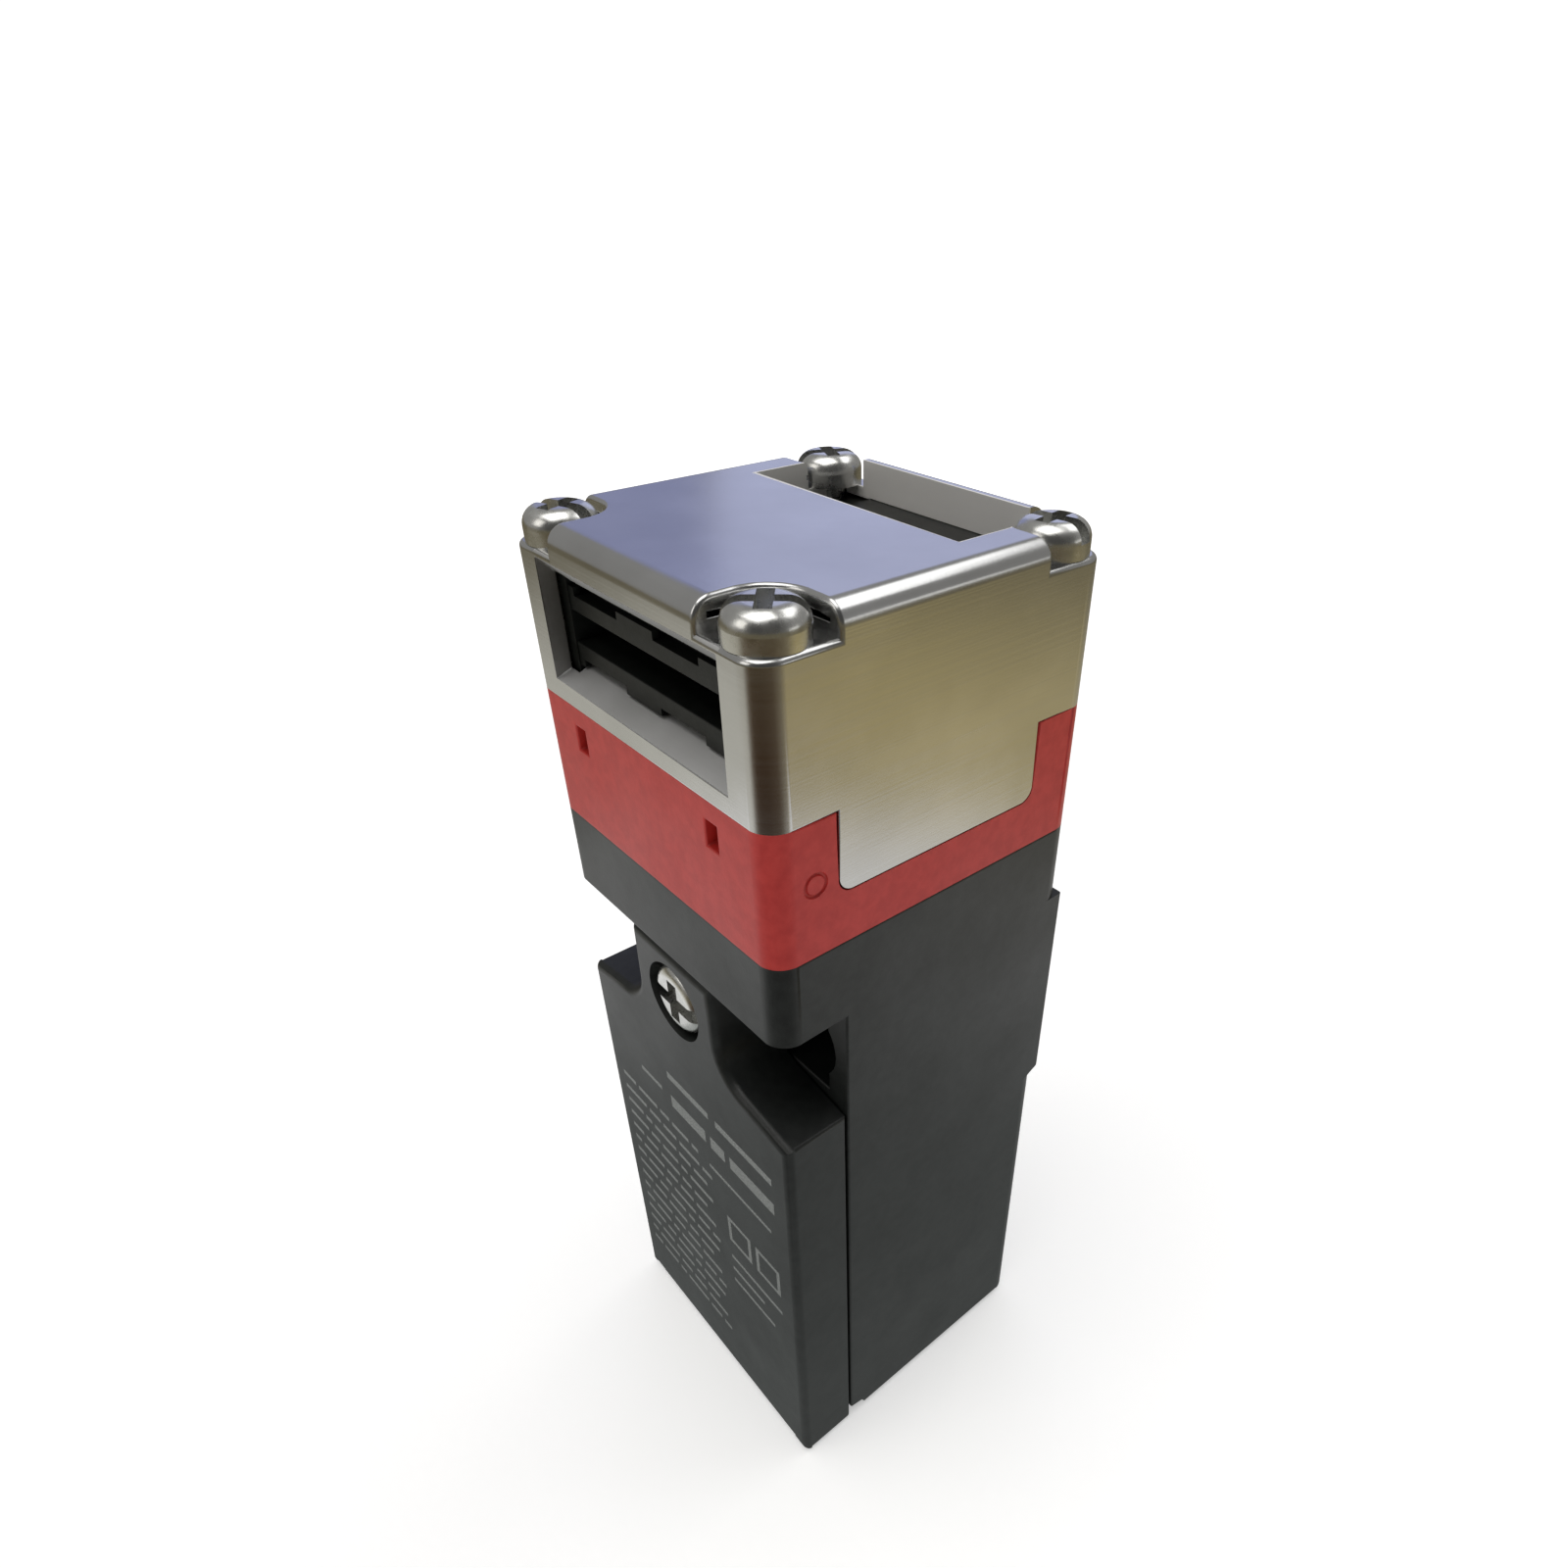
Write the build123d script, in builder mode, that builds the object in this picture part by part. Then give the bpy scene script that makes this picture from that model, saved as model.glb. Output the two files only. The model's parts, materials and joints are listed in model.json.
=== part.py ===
# Door interlock switch with a tall moulded body and a key head. Millimetres, Z up.
# The origin is the middle of the base. The lid and the front key mouth face -Y.
# With no key in the head, the cam holds the push rod down. A key that comes in from
# the front or from the top turns the cam and lets the rod rise.

import os
from math import cos, degrees, hypot, radians, sin

from build123d import *

os.makedirs("parts", exist_ok=True)

# Outline of the body and the head
width = 30.0
depth = 30.0
collar_bottom = 57.5
collar_height = 7.2
head_base_height = 10.7
cap_height = 13.25

half_width = width / 2
front_y = -depth / 2
back_y = depth / 2
body_top = collar_bottom + collar_height
cap_bottom = body_top + head_base_height
cap_top = cap_bottom + cap_height

# Body moulding
side_wall = 2.4
back_wall = 2.4
body_corner_radius = 2.0
lid_depth = 5.85
lid_gap = 0.2
base_thickness = 9.0
chamber_corner_radius = 1.5
upper_pad_drop = 20.7
pad_slope = 2.5
lower_pad_top = 8.5
pad_height = 0.4
pad_margin = 3.5
pad_corner_radius = 1.0
base_step_height = 1.8
base_step_depth = 1.75

lid_back_y = front_y + lid_depth
rim_y = lid_back_y + lid_gap
chamber_back_y = back_y - back_wall
chamber_half = half_width - side_wall
upper_pad_bottom = collar_bottom - upper_pad_drop

# Mounting pockets beside the middle boss
hole_edge_margin = 5.0
hole_radius = 2.15
mounting_drop = 5.2
pocket_back_wall = 6.0
pocket_inner_x = 5.6
pocket_drop = 9.3
screw_seat_radius = 3.6

hole_spacing = width - 2 * hole_edge_margin
mounting_z = collar_bottom - mounting_drop
pocket_floor_y = back_y - pocket_back_wall
pocket_bottom = collar_bottom - pocket_drop

# Conduit port in the base, at the minor diameter of an M20 x 1.5 thread
port_front_wall = 2.76
port_back_wall = 2.81
port_mouth_chamfer = 0.9

port_radius = (back_y - port_back_wall - rim_y - port_front_wall) / 2
port_y = rim_y + port_front_wall + port_radius

# Lid
lid_bottom = 0.6
lid_front_wall = 1.8
lid_side_wall = 1.7
lid_edge_radius = 0.8
lid_corner_radius = 1.1
lid_hollow_radius = 1.0
shoulder_drop = 10.6
shoulder_rise = 1.6
tongue_half_width = 5.75
tongue_draft = 0.25
tongue_gap = 0.3
shoulder_fillet = 3.6
pry_height = 0.9
pry_depth = 0.5
pry_end_margin = 1.8
notch_inset = 1.0
notch_length = 2.0
notch_depth = 1.5
notch_rise = 1.0

tongue_top = collar_bottom - tongue_gap
shoulder_edge_z = collar_bottom - shoulder_drop
shoulder_root_z = shoulder_edge_z + shoulder_rise
lid_screw_z = mounting_z
chamber_top_margin = 2.1
chamber_top = shoulder_edge_z - chamber_top_margin

# Lid gasket in its groove in the body's rim
gasket_width = 1.0
gasket_sink = 0.8
gasket_corner_radius = 2.0
gasket_edge_margin = 0.8
gasket_bottom = 3.0
gasket_top = chamber_top + 1.9

# Head fixing screws, M3, and the corner pockets of the cap
screw_edge_margin = 2.85
head_screw_shank = 1.3
head_screw_end_margin = 1.05
head_screw_head = 2.68
head_screw_head_height = 2.4
screw_clearance = 0.15
pilot_clearance = 0.02
pilot_bottom_room = 0.5

screw_x = half_width - screw_edge_margin
screw_y = back_y - screw_edge_margin

# Head base
head_corner_radius = 2.0
base_floor = 1.6
base_wall = 3.5
base_post_size = 5.4
spigot_radius = 9.0
spigot_wall = 1.5
spigot_height = 2.4
window_edge_margin = 6.3
window_drop = 2.65
window_width = 1.4
window_height = 2.1
window_depth = 1.2

base_cavity_x = half_width - base_wall
base_cavity_y = back_y - base_wall
base_post_x = half_width - base_post_size
base_post_y = back_y - base_post_size
window_x = half_width - window_edge_margin
window_z = cap_bottom - window_drop
floor_z = body_top + base_floor

# Cap
cap_wall = 1.0
cap_corner_radius = 2.0
cap_bend_radius = 1.5
tab_length = 6.4
tab_side_margin = 5.6
tab_corner_radius = 1.2
tab_clearance = 0.1
pocket_size = 6.0
pocket_round = 3.15
pocket_sink = 2.1
pocket_floor_wall = 0.9
pocket_overlap = 0.2
pocket_floor_round = 0.4
pocket_rim_round = 0.3
mouth_side_margin = 3.8
mouth_depth_limit = 1.4
mouth_bottom_margin = 1.5
mouth_top_margin = 2.55
top_mouth_back_margin = 1.9
top_mouth_length = 9.15
flap_wall = 0.8
top_flap_depth = 2.85
ramp_rise = 0.42
lip_drop = 1.0
flap_gap = 0.2

tab_half_width = back_y - tab_side_margin
pocket_edge_x = half_width - pocket_size
pocket_edge_y = back_y - pocket_size
pocket_floor_z = cap_top - pocket_sink
head_screw_length = pocket_floor_z - collar_bottom - head_screw_end_margin
mouth_half_width = half_width - mouth_side_margin
front_mouth_bottom = cap_bottom + mouth_bottom_margin
front_mouth_top = cap_top - mouth_top_margin
top_mouth_back = back_y - top_mouth_back_margin
top_mouth_front = top_mouth_back - top_mouth_length
tab_bottom = cap_bottom - tab_length
flap_end_y = front_y + mouth_depth_limit
flap_bottom_z = cap_top - top_flap_depth

# Key guide
guide_clearance = 0.15
guide_plate_wall = 1.5
guide_front_inset = 2.9
guide_top_drop = 2.9
guide_bottom_gap = 0.1
recess_top_room = 0.6
column_inset = 1.6
cheek_gap = 0.2
cheek_wall = 2.1
cheek_floor_gap = 1.7
cheek_half_depth = 4.0

guide_front_y = front_y + guide_front_inset
guide_top_z = cap_top - guide_top_drop
column_front_y = front_y + column_inset
cheek_half_width = base_cavity_x - cheek_gap
cheek_bottom = floor_z + cheek_floor_gap
guide_cavity_half = cheek_half_width - cheek_wall
guide_cavity_back_y = base_cavity_y
cavity_front_y = guide_front_y + guide_plate_wall
cavity_top = guide_top_z - guide_plate_wall

# Notched bars of the front slot
slot_width = 2.4
slot_end_margin = 0.9
bar_inset = 1.7
bar_top_gap = 0.3
bar_bottom_gap = 1.0
tab_rise = 0.6
bar_tab_depth = 0.5
middle_tab = (-3.6, 1.0)
right_tab_length = 3.9
left_tab_length = 0.7

slot_half_length = mouth_half_width - slot_end_margin
bar_front_y = front_y + bar_inset
lip_end_z = front_mouth_top - lip_drop * (bar_inset + flap_gap)
bars_top = lip_end_z - bar_top_gap
bars_bottom = front_mouth_bottom + bar_bottom_gap
bar_height = (bars_top - bars_bottom - slot_width) / 2 - tab_rise
front_slot_z = (bars_top + bars_bottom) / 2

# Cam axle
axle_radius = 1.5
axle_end_chamfer = 0.2
axle_drop = 1.4
axle_back_shift = 0.55
running_clearance = 0.05

axle_y = (cavity_front_y + guide_cavity_back_y) / 2 + axle_back_shift
axle_z = cap_bottom - axle_drop
key_offset = front_slot_z - axle_z
top_slot_y = axle_y + key_offset

# Cam
cam_side_gap = 0.2
hub_radius = 3.2
hub_shoulder = 0.8
disc_thickness = 3.0
disc_back_gap = 0.7
disc_top_gap = 0.45
disc_root_radius = 5.6
sector_start = 25.0
sector_end = 155.0
notch_width = 2.8
notch_root_radius = 6.2
front_notch_angle = 133.0
top_notch_angle = 47.0
lobe_floor_gap = 1.1
lobe_half_width = 2.6
cam_travel_angle = 60.0
spiral_overrun = 12.0
lobe_start = -160.0
lobe_start_span = 40.0

cam_half_width = guide_cavity_half - cam_side_gap
disc_inner_x = cam_half_width - hub_shoulder - disc_thickness
disc_radius = min(
    guide_cavity_back_y - axle_y - disc_back_gap, cavity_top - axle_z - disc_top_gap
)
lobe_radius = axle_z - floor_z - lobe_floor_gap

# Push rod and its travel
rod_travel = 2.5
rod_radius = 2.0
rod_tip_gap = 0.35
rod_clearance = 0.08
rod_tip_flat = 0.05

rod_tip_z = axle_z - lobe_radius - rod_tip_gap

# Seals of the rod and the head
rod_seal_radius = 4.0
rod_seal_height = 2.0
seal_seat_clearance = 0.05
head_seal_radius = 10.9
head_seal_height = 1.0
socket_clearance = 0.1
socket_floor_gap = 0.3

# Contact block
block_side_gap = 0.4
block_height = 25.9
terminal_wall = 2.0
block_chamber_half_depth = 3.0
block_floor = 1.6
block_roof = 1.8
rib_thickness = 1.0
rib_reach = 4.3
foot_thickness = 3.5
foot_height = 7.5
foot_gap = 0.2
block_screw_side_margin = 2.2
block_screw_rise = 3.1
block_screw_shank = 1.1
block_screw_head = 2.0
block_screw_head_height = 1.5
block_screw_length = 6.2
boss_radius = 2.5
boss_length = 3.1

plate_half_width = 3.0
strip_edge_margin = 0.4

block_half_width = chamber_half - block_side_gap
terminal_x = block_half_width - strip_edge_margin - plate_half_width
block_chamber_half = terminal_x - terminal_wall
block_top = chamber_top
block_bottom = block_top - block_height
block_back_y = chamber_back_y
block_chamber_back_y = axle_y + block_chamber_half_depth
block_chamber_bottom = block_bottom + block_floor
block_chamber_top = block_top - block_roof
block_screw_x = block_half_width - block_screw_side_margin
block_screw_z = block_bottom + block_screw_rise
boss_front_y = chamber_back_y - boss_length
foot_front_y = boss_front_y - foot_thickness

# Contacts
strip_thickness = 0.8
strip_plate_height = 6.4
strip_tongue_front = 1.6
strip_tongue_back = 2.0
contact_radius = 1.2
rivet_height = 0.6
contact_gap = 0.1
contact_spacing = 14.0
safety_strip_drop = 2.0
bridge_end_gap = 0.4
bridge_end_margin = 1.4
bridge_half_depth = 1.5
bridge_thickness = 0.6
bridge_corner_radius = 0.5

strip_plate_inner = terminal_x - plate_half_width
strip_plate_outer = terminal_x + plate_half_width
strip_back_y = axle_y + strip_tongue_back
bridge_half_length = block_chamber_half - bridge_end_gap
contact_x = bridge_half_length - bridge_end_margin
strip_inner_x = contact_x - contact_radius
safety_strip_z = block_chamber_top - safety_strip_drop
signal_strip_z = safety_strip_z - contact_spacing

# Terminal screws, M3
terminal_head_height = 1.8
terminal_length = 7.0
terminal_shoulder = 1.35
washer_margin = 0.1
washer_thickness = 0.8
washer_corner_radius = 0.5
head_margin = 0.25

washer_half = plate_half_width - washer_margin
terminal_head = plate_half_width - head_margin
terminal_shank = terminal_head - terminal_shoulder

# Carrier
carrier_half_width = 3.2
carrier_clearance = 0.2
carrier_foot = 0.3
window_room = 2.6
window_half_depth = 1.7
carrier_end = 2.4
spring_leaf = 0.25
leaf_half_length = 2.6
leaf_half_depth = 1.1

# Return spring
spring_radius = 2.1
wire_radius = 0.28
spring_turns = 5.5
spigot_pin_radius = 1.4
spigot_pin_height = 1.4
spring_seat_gap = 0.05

# Lid screw and its insert
lid_screw_head = 3.3
lid_screw_head_height = 2.3
lid_screw_shank = 1.7
lid_counterbore = 3.65
insert_radius = 2.5
insert_sink = 0.1
insert_rod_wall = 2.05
screw_end_room = 1.05

insert_length = axle_y - rod_radius - insert_rod_wall - rim_y - insert_sink
insert_back_y = rim_y + insert_sink + insert_length
lid_screw_length = insert_back_y - screw_end_room - front_y - lid_screw_head_height

# Cover of the contact block
cover_strip_gap = 0.3
cover_thickness = 1.2
cover_bottom_margin = 0.6
cover_guide_half = 2.5
cover_guide_depth = 0.7
cover_guide_margin = 1.0
cover_edge_radius = 0.4

# Places that follow from the sizes above
carrier_half_depth = block_chamber_half_depth - carrier_clearance
block_front_y = axle_y - block_chamber_half_depth - cover_guide_depth
rib_front_y = block_front_y - rib_reach
cover_half_width = strip_plate_inner - cover_strip_gap
cover_bottom = block_bottom + cover_bottom_margin
groove_bottom_y = rim_y + gasket_sink
socket_floor_z = body_top - spigot_height - socket_floor_gap
seal_seat_z = socket_floor_z - rod_seal_height
carrier_z = signal_strip_z + strip_thickness + rivet_height + contact_gap + rivet_height
safety_bridge_top = safety_strip_z - 2 * rivet_height - contact_gap - rod_travel
carrier_bottom = carrier_z - carrier_end - carrier_foot
carrier_top = safety_bridge_top + carrier_end
spring_room = carrier_bottom - block_chamber_bottom
cam_rate = rod_travel / cam_travel_angle


def level(z):
    """The horizontal plane at height z."""
    return Plane.XY.offset(z)


def facing_front(y):
    """The upright plane at depth y, drawn as seen from the front."""
    return Plane.XZ.offset(-y)


def facing_side(x):
    """The upright plane across X at x, drawn with Y to the right."""
    return Plane.YZ.offset(x)


def block(x_span, y_span, z_span, mode=Mode.ADD):
    """Adds or cuts the rectangular stretch between three pairs of limits."""
    (x0, x1), (y0, y1), (z0, z1) = x_span, y_span, z_span
    with Locations(((x0 + x1) / 2, (y0 + y1) / 2, (z0 + z1) / 2)):
        Box(x1 - x0, y1 - y0, z1 - z0, mode=mode)


def both_sides(low, high):
    """The same X span on the right and, mirrored, on the left."""
    return (low, high), (-high, -low)


def pan_screw(head_radius, head_height, shank_radius, length, cross=True):
    """A pan-head screw along -Z from the seat of its head, with its driver recess."""
    crown = head_height * 0.55
    slot_depth = head_height * 0.55
    slot_width = head_radius * 0.4
    with BuildPart() as screw:
        with BuildSketch(Plane.XZ):
            with BuildLine():
                Polyline((0, head_height), (0, -length), (shank_radius * 0.6, -length))
                Line((shank_radius * 0.6, -length), (shank_radius, shank_radius - length))
                Line((shank_radius, shank_radius - length), (shank_radius, 0))
                Polyline((shank_radius, 0), (head_radius, 0), (head_radius, head_height - crown))
                TangentArc(
                    (head_radius, head_height - crown),
                    (head_radius - crown, head_height),
                    tangent=(0, 1),
                )
                Line((head_radius - crown, head_height), (0, head_height))
            make_face()
        revolve(axis=Axis.Z)
        with BuildSketch(level(head_height)):
            Rectangle(2.2 * head_radius, slot_width)
            if cross:
                Rectangle(slot_width, 1.2 * head_radius)
        extrude(amount=-slot_depth, mode=Mode.SUBTRACT)
    return screw.part


def save(node, name):
    """Labels a finished piece and writes it."""
    node.part.label = name
    export_step(node.part, f"parts/{name}.step")


# Body with its collar, open to the front below the shoulder
with BuildPart() as housing:
    with BuildSketch(level(0)):
        with Locations((0, (rim_y + back_y) / 2)):
            Rectangle(width, back_y - rim_y)
    extrude(amount=collar_bottom)
    fillet(housing.edges().filter_by(Axis.Z).group_by(Axis.Y)[-1], body_corner_radius)
    with BuildSketch(level(collar_bottom)):
        RectangleRounded(width, depth, body_corner_radius)
    extrude(amount=collar_height)
    # The upper mounting pad squares off the back corners
    with BuildSketch(facing_side(-half_width)):
        Polygon(
            (back_y, upper_pad_bottom),
            (back_y, collar_bottom),
            (back_y - pad_slope, collar_bottom),
            (back_y - pad_slope, upper_pad_bottom - pad_slope / 2),
            align=None,
        )
    extrude(amount=width)
    # The back face is sunk between the upper and the lower pad
    with BuildSketch(facing_front(back_y)):
        with Locations((0, (lower_pad_top + upper_pad_bottom - pad_slope / 2) / 2)):
            RectangleRounded(
                width - 2 * pad_margin,
                upper_pad_bottom - pad_slope / 2 - lower_pad_top,
                pad_corner_radius,
            )
    extrude(amount=pad_height, mode=Mode.SUBTRACT)
    # Wiring and contact chamber
    with BuildSketch(facing_front(chamber_back_y)):
        with Locations((0, (base_thickness + chamber_top) / 2)):
            RectangleRounded(
                2 * chamber_half, chamber_top - base_thickness, chamber_corner_radius
            )
    extrude(amount=chamber_back_y - rim_y, mode=Mode.SUBTRACT)
    # Mounting pockets, with a round seat for each screw head
    for span in both_sides(pocket_inner_x, chamber_half):
        block(
            span, (rim_y, pocket_floor_y), (pocket_bottom, collar_bottom), mode=Mode.SUBTRACT
        )
    with BuildSketch(facing_front(pocket_floor_y)):
        with Locations((0, mounting_z)):
            with GridLocations(hole_spacing, 0, 2, 1):
                Circle(screw_seat_radius)
    extrude(amount=pocket_floor_y - rim_y, mode=Mode.SUBTRACT)
    with BuildSketch(facing_front(back_y)):
        with Locations((0, mounting_z)):
            with GridLocations(hole_spacing, 0, 2, 1):
                Circle(hole_radius)
    extrude(amount=back_y - pocket_floor_y, mode=Mode.SUBTRACT)
    # Hole for the threaded insert of the lid screw
    with BuildSketch(facing_front(rim_y)):
        with Locations((0, lid_screw_z)):
            Circle(insert_radius)
    extrude(amount=-(insert_length + 2 * insert_sink), mode=Mode.SUBTRACT)
    # Way of the push rod, the seat of its seal, and the socket of the head
    for floor, radius in (
        (chamber_top, rod_radius + rod_clearance),
        (seal_seat_z, rod_seal_radius + seal_seat_clearance),
    ):
        with BuildSketch(level(floor)):
            with Locations((0, axle_y)):
                Circle(radius)
        extrude(amount=socket_floor_z - floor, mode=Mode.SUBTRACT)
    with BuildSketch(level(socket_floor_z)):
        Circle(spigot_radius + socket_clearance)
    extrude(amount=body_top - socket_floor_z, mode=Mode.SUBTRACT)
    with BuildSketch(level(body_top - head_seal_height)):
        Circle(head_seal_radius)
    extrude(amount=head_seal_height, mode=Mode.SUBTRACT)
    # Pilot holes for the four head screws
    with BuildSketch(level(body_top)):
        with GridLocations(2 * screw_x, 2 * screw_y, 2, 2):
            Circle(head_screw_shank + pilot_clearance)
    extrude(
        amount=pocket_floor_z - head_screw_length - pilot_bottom_room - body_top,
        mode=Mode.SUBTRACT,
    )
    # Conduit port in the base
    with BuildSketch(level(0)):
        with Locations((0, port_y)):
            Circle(port_radius)
    extrude(amount=base_thickness, mode=Mode.SUBTRACT)
    port_mouth = housing.edges().filter_by(GeomType.CIRCLE).group_by(Axis.Z)[0]
    chamfer(port_mouth, port_mouth_chamfer)
    # Step under the lid at the front of the base
    block(
        (-half_width, half_width),
        (rim_y, rim_y + base_step_depth),
        (0, base_step_height),
        mode=Mode.SUBTRACT,
    )
    # Bosses that carry the contact block
    with BuildSketch(facing_front(chamber_back_y)):
        with Locations((0, block_screw_z)):
            with GridLocations(2 * block_screw_x, 0, 2, 1):
                Circle(boss_radius)
    extrude(amount=chamber_back_y - boss_front_y)
    with BuildSketch(facing_front(boss_front_y)):
        with Locations((0, block_screw_z)):
            with GridLocations(2 * block_screw_x, 0, 2, 1):
                Circle(block_screw_shank + pilot_clearance)
    extrude(amount=-(chamber_back_y - boss_front_y), mode=Mode.SUBTRACT)
    # Gasket groove in the rim
    groove_half = half_width - gasket_edge_margin
    with BuildSketch(facing_front(groove_bottom_y)):
        with Locations((0, (gasket_bottom + gasket_top) / 2)):
            RectangleRounded(
                2 * groove_half, gasket_top - gasket_bottom, gasket_corner_radius
            )
            RectangleRounded(
                2 * (groove_half - gasket_width),
                gasket_top - gasket_bottom - 2 * gasket_width,
                gasket_corner_radius - gasket_width,
                mode=Mode.SUBTRACT,
            )
    extrude(amount=gasket_sink, mode=Mode.SUBTRACT)
save(housing, "housing")

# Gasket between the body and the lid
with BuildPart() as lid_gasket:
    with BuildSketch(facing_front(groove_bottom_y)):
        with Locations((0, (gasket_bottom + gasket_top) / 2)):
            RectangleRounded(
                2 * groove_half, gasket_top - gasket_bottom, gasket_corner_radius
            )
            RectangleRounded(
                2 * (groove_half - gasket_width),
                gasket_top - gasket_bottom - 2 * gasket_width,
                gasket_corner_radius - gasket_width,
                mode=Mode.SUBTRACT,
            )
    extrude(amount=groove_bottom_y - lid_back_y)
save(lid_gasket, "lid_gasket")

# Lid, a shallow tray with a tongue that reaches up under the collar
with BuildPart() as lid:
    with BuildSketch(facing_front(lid_back_y)) as lid_outline:
        with BuildLine():
            Polyline(
                (0, lid_bottom),
                (half_width, lid_bottom),
                (half_width, shoulder_edge_z),
                (tongue_half_width + tongue_draft, shoulder_root_z),
                (tongue_half_width, tongue_top),
                (0, tongue_top),
            )
            mirror(about=Plane.YZ)
        make_face()
        outline_corners = lid_outline.vertices()
        fillet(
            outline_corners.filter_by(lambda v: abs(v.Y - shoulder_root_z) < 0.01),
            shoulder_fillet,
        )
        fillet(
            outline_corners.filter_by(
                lambda v: abs(v.X) > half_width - 0.01 or v.Y > tongue_top - 0.01
            ),
            lid_corner_radius,
        )
    extrude(amount=lid_depth)
    fillet(lid.faces().sort_by(Axis.Y)[0].edges(), lid_edge_radius)
    # The hollow behind the front wall
    with BuildSketch(facing_front(lid_back_y)):
        with Locations((0, (lid_bottom + shoulder_edge_z) / 2)):
            RectangleRounded(
                2 * (half_width - lid_side_wall),
                shoulder_edge_z - lid_bottom - 2 * lid_side_wall,
                lid_hollow_radius,
            )
    extrude(amount=lid_depth - lid_front_wall, mode=Mode.SUBTRACT)
    # Counterbored hole for the screw in the tongue
    with BuildSketch(facing_front(lid_back_y)):
        with Locations((0, lid_screw_z)):
            Circle(lid_screw_shank + screw_clearance)
    extrude(amount=lid_depth, mode=Mode.SUBTRACT)
    with BuildSketch(facing_front(front_y)):
        with Locations((0, lid_screw_z)):
            Circle(lid_counterbore)
    extrude(amount=-lid_screw_head_height, mode=Mode.SUBTRACT)
    # Finger groove along the bottom edge
    pry_span = (-half_width + pry_end_margin, half_width - pry_end_margin)
    block(
        pry_span,
        (front_y, front_y + pry_depth),
        (lid_bottom, lid_bottom + pry_height),
        mode=Mode.SUBTRACT,
    )
    # Thumb notch at the left end of the lower edge
    block(
        (-half_width + notch_inset, -half_width + notch_inset + notch_length),
        (front_y, front_y + notch_depth),
        (lid_bottom, lid_bottom + notch_rise),
        mode=Mode.SUBTRACT,
    )
save(lid, "lid")

# Threaded insert in the boss behind the tongue
with BuildPart() as screw_insert:
    with BuildSketch(facing_front(rim_y + insert_sink)):
        with Locations((0, lid_screw_z)):
            Circle(insert_radius)
            Circle(lid_screw_shank + pilot_clearance, mode=Mode.SUBTRACT)
    extrude(amount=-insert_length)
save(screw_insert, "screw_insert")

lid_screw_solid = pan_screw(
    lid_screw_head, lid_screw_head_height, lid_screw_shank, lid_screw_length
)
with BuildPart() as lid_screw:
    with Locations(Location((0, front_y + lid_screw_head_height, lid_screw_z), (90, 0, 0))):
        add(lid_screw_solid)
save(lid_screw, "lid_screw")

# Base of the head, with a spigot that sits in the collar
with BuildPart() as head_base:
    with BuildSketch(level(body_top)):
        RectangleRounded(width, depth, head_corner_radius)
    extrude(amount=head_base_height)
    with BuildSketch(level(body_top)):
        Circle(spigot_radius)
        Circle(spigot_radius - spigot_wall, mode=Mode.SUBTRACT)
    extrude(amount=-spigot_height)
    # Cavity for the cam, with a post left in each corner
    with BuildSketch(level(floor_z)):
        Rectangle(2 * base_cavity_x, 2 * base_post_y)
        Rectangle(2 * base_post_x, 2 * base_cavity_y)
    extrude(amount=cap_bottom - floor_z, mode=Mode.SUBTRACT)
    with BuildSketch(level(body_top)):
        with Locations((0, axle_y)):
            Circle(rod_radius + screw_clearance)
        with GridLocations(2 * screw_x, 2 * screw_y, 2, 2):
            Circle(head_screw_shank + screw_clearance)
    extrude(amount=head_base_height, mode=Mode.SUBTRACT)
    # Shallow seats for the tabs of the cap
    for seat_x, amount in ((half_width, -cap_wall), (-half_width, cap_wall)):
        with BuildSketch(facing_side(seat_x)) as tab_seat:
            with Locations((0, (tab_bottom + cap_bottom) / 2 - tab_clearance / 2)):
                Rectangle(2 * (tab_half_width + tab_clearance), tab_length + tab_clearance)
            lower = tab_seat.vertices().group_by(Axis.Y)[0]
            fillet(lower, tab_corner_radius)
        extrude(amount=amount, mode=Mode.SUBTRACT)
    # Two small windows in the front
    with BuildSketch(facing_front(front_y)):
        with Locations((0, window_z)):
            with GridLocations(2 * window_x, 0, 2, 1):
                Rectangle(window_width, window_height)
    extrude(amount=-window_depth, mode=Mode.SUBTRACT)
save(head_base, "head_base")

# Flat seal between the collar and the head
with BuildPart() as head_seal:
    with BuildSketch(level(body_top - head_seal_height)):
        Circle(head_seal_radius)
        Circle(spigot_radius + socket_clearance, mode=Mode.SUBTRACT)
    extrude(amount=head_seal_height)
save(head_seal, "head_seal")

# Lip seal round the push rod
with BuildPart() as rod_seal:
    with BuildSketch(level(seal_seat_z)):
        with Locations((0, axle_y)):
            Circle(rod_seal_radius)
            Circle(rod_radius + rod_clearance, mode=Mode.SUBTRACT)
    extrude(amount=rod_seal_height)
save(rod_seal, "rod_seal")

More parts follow.
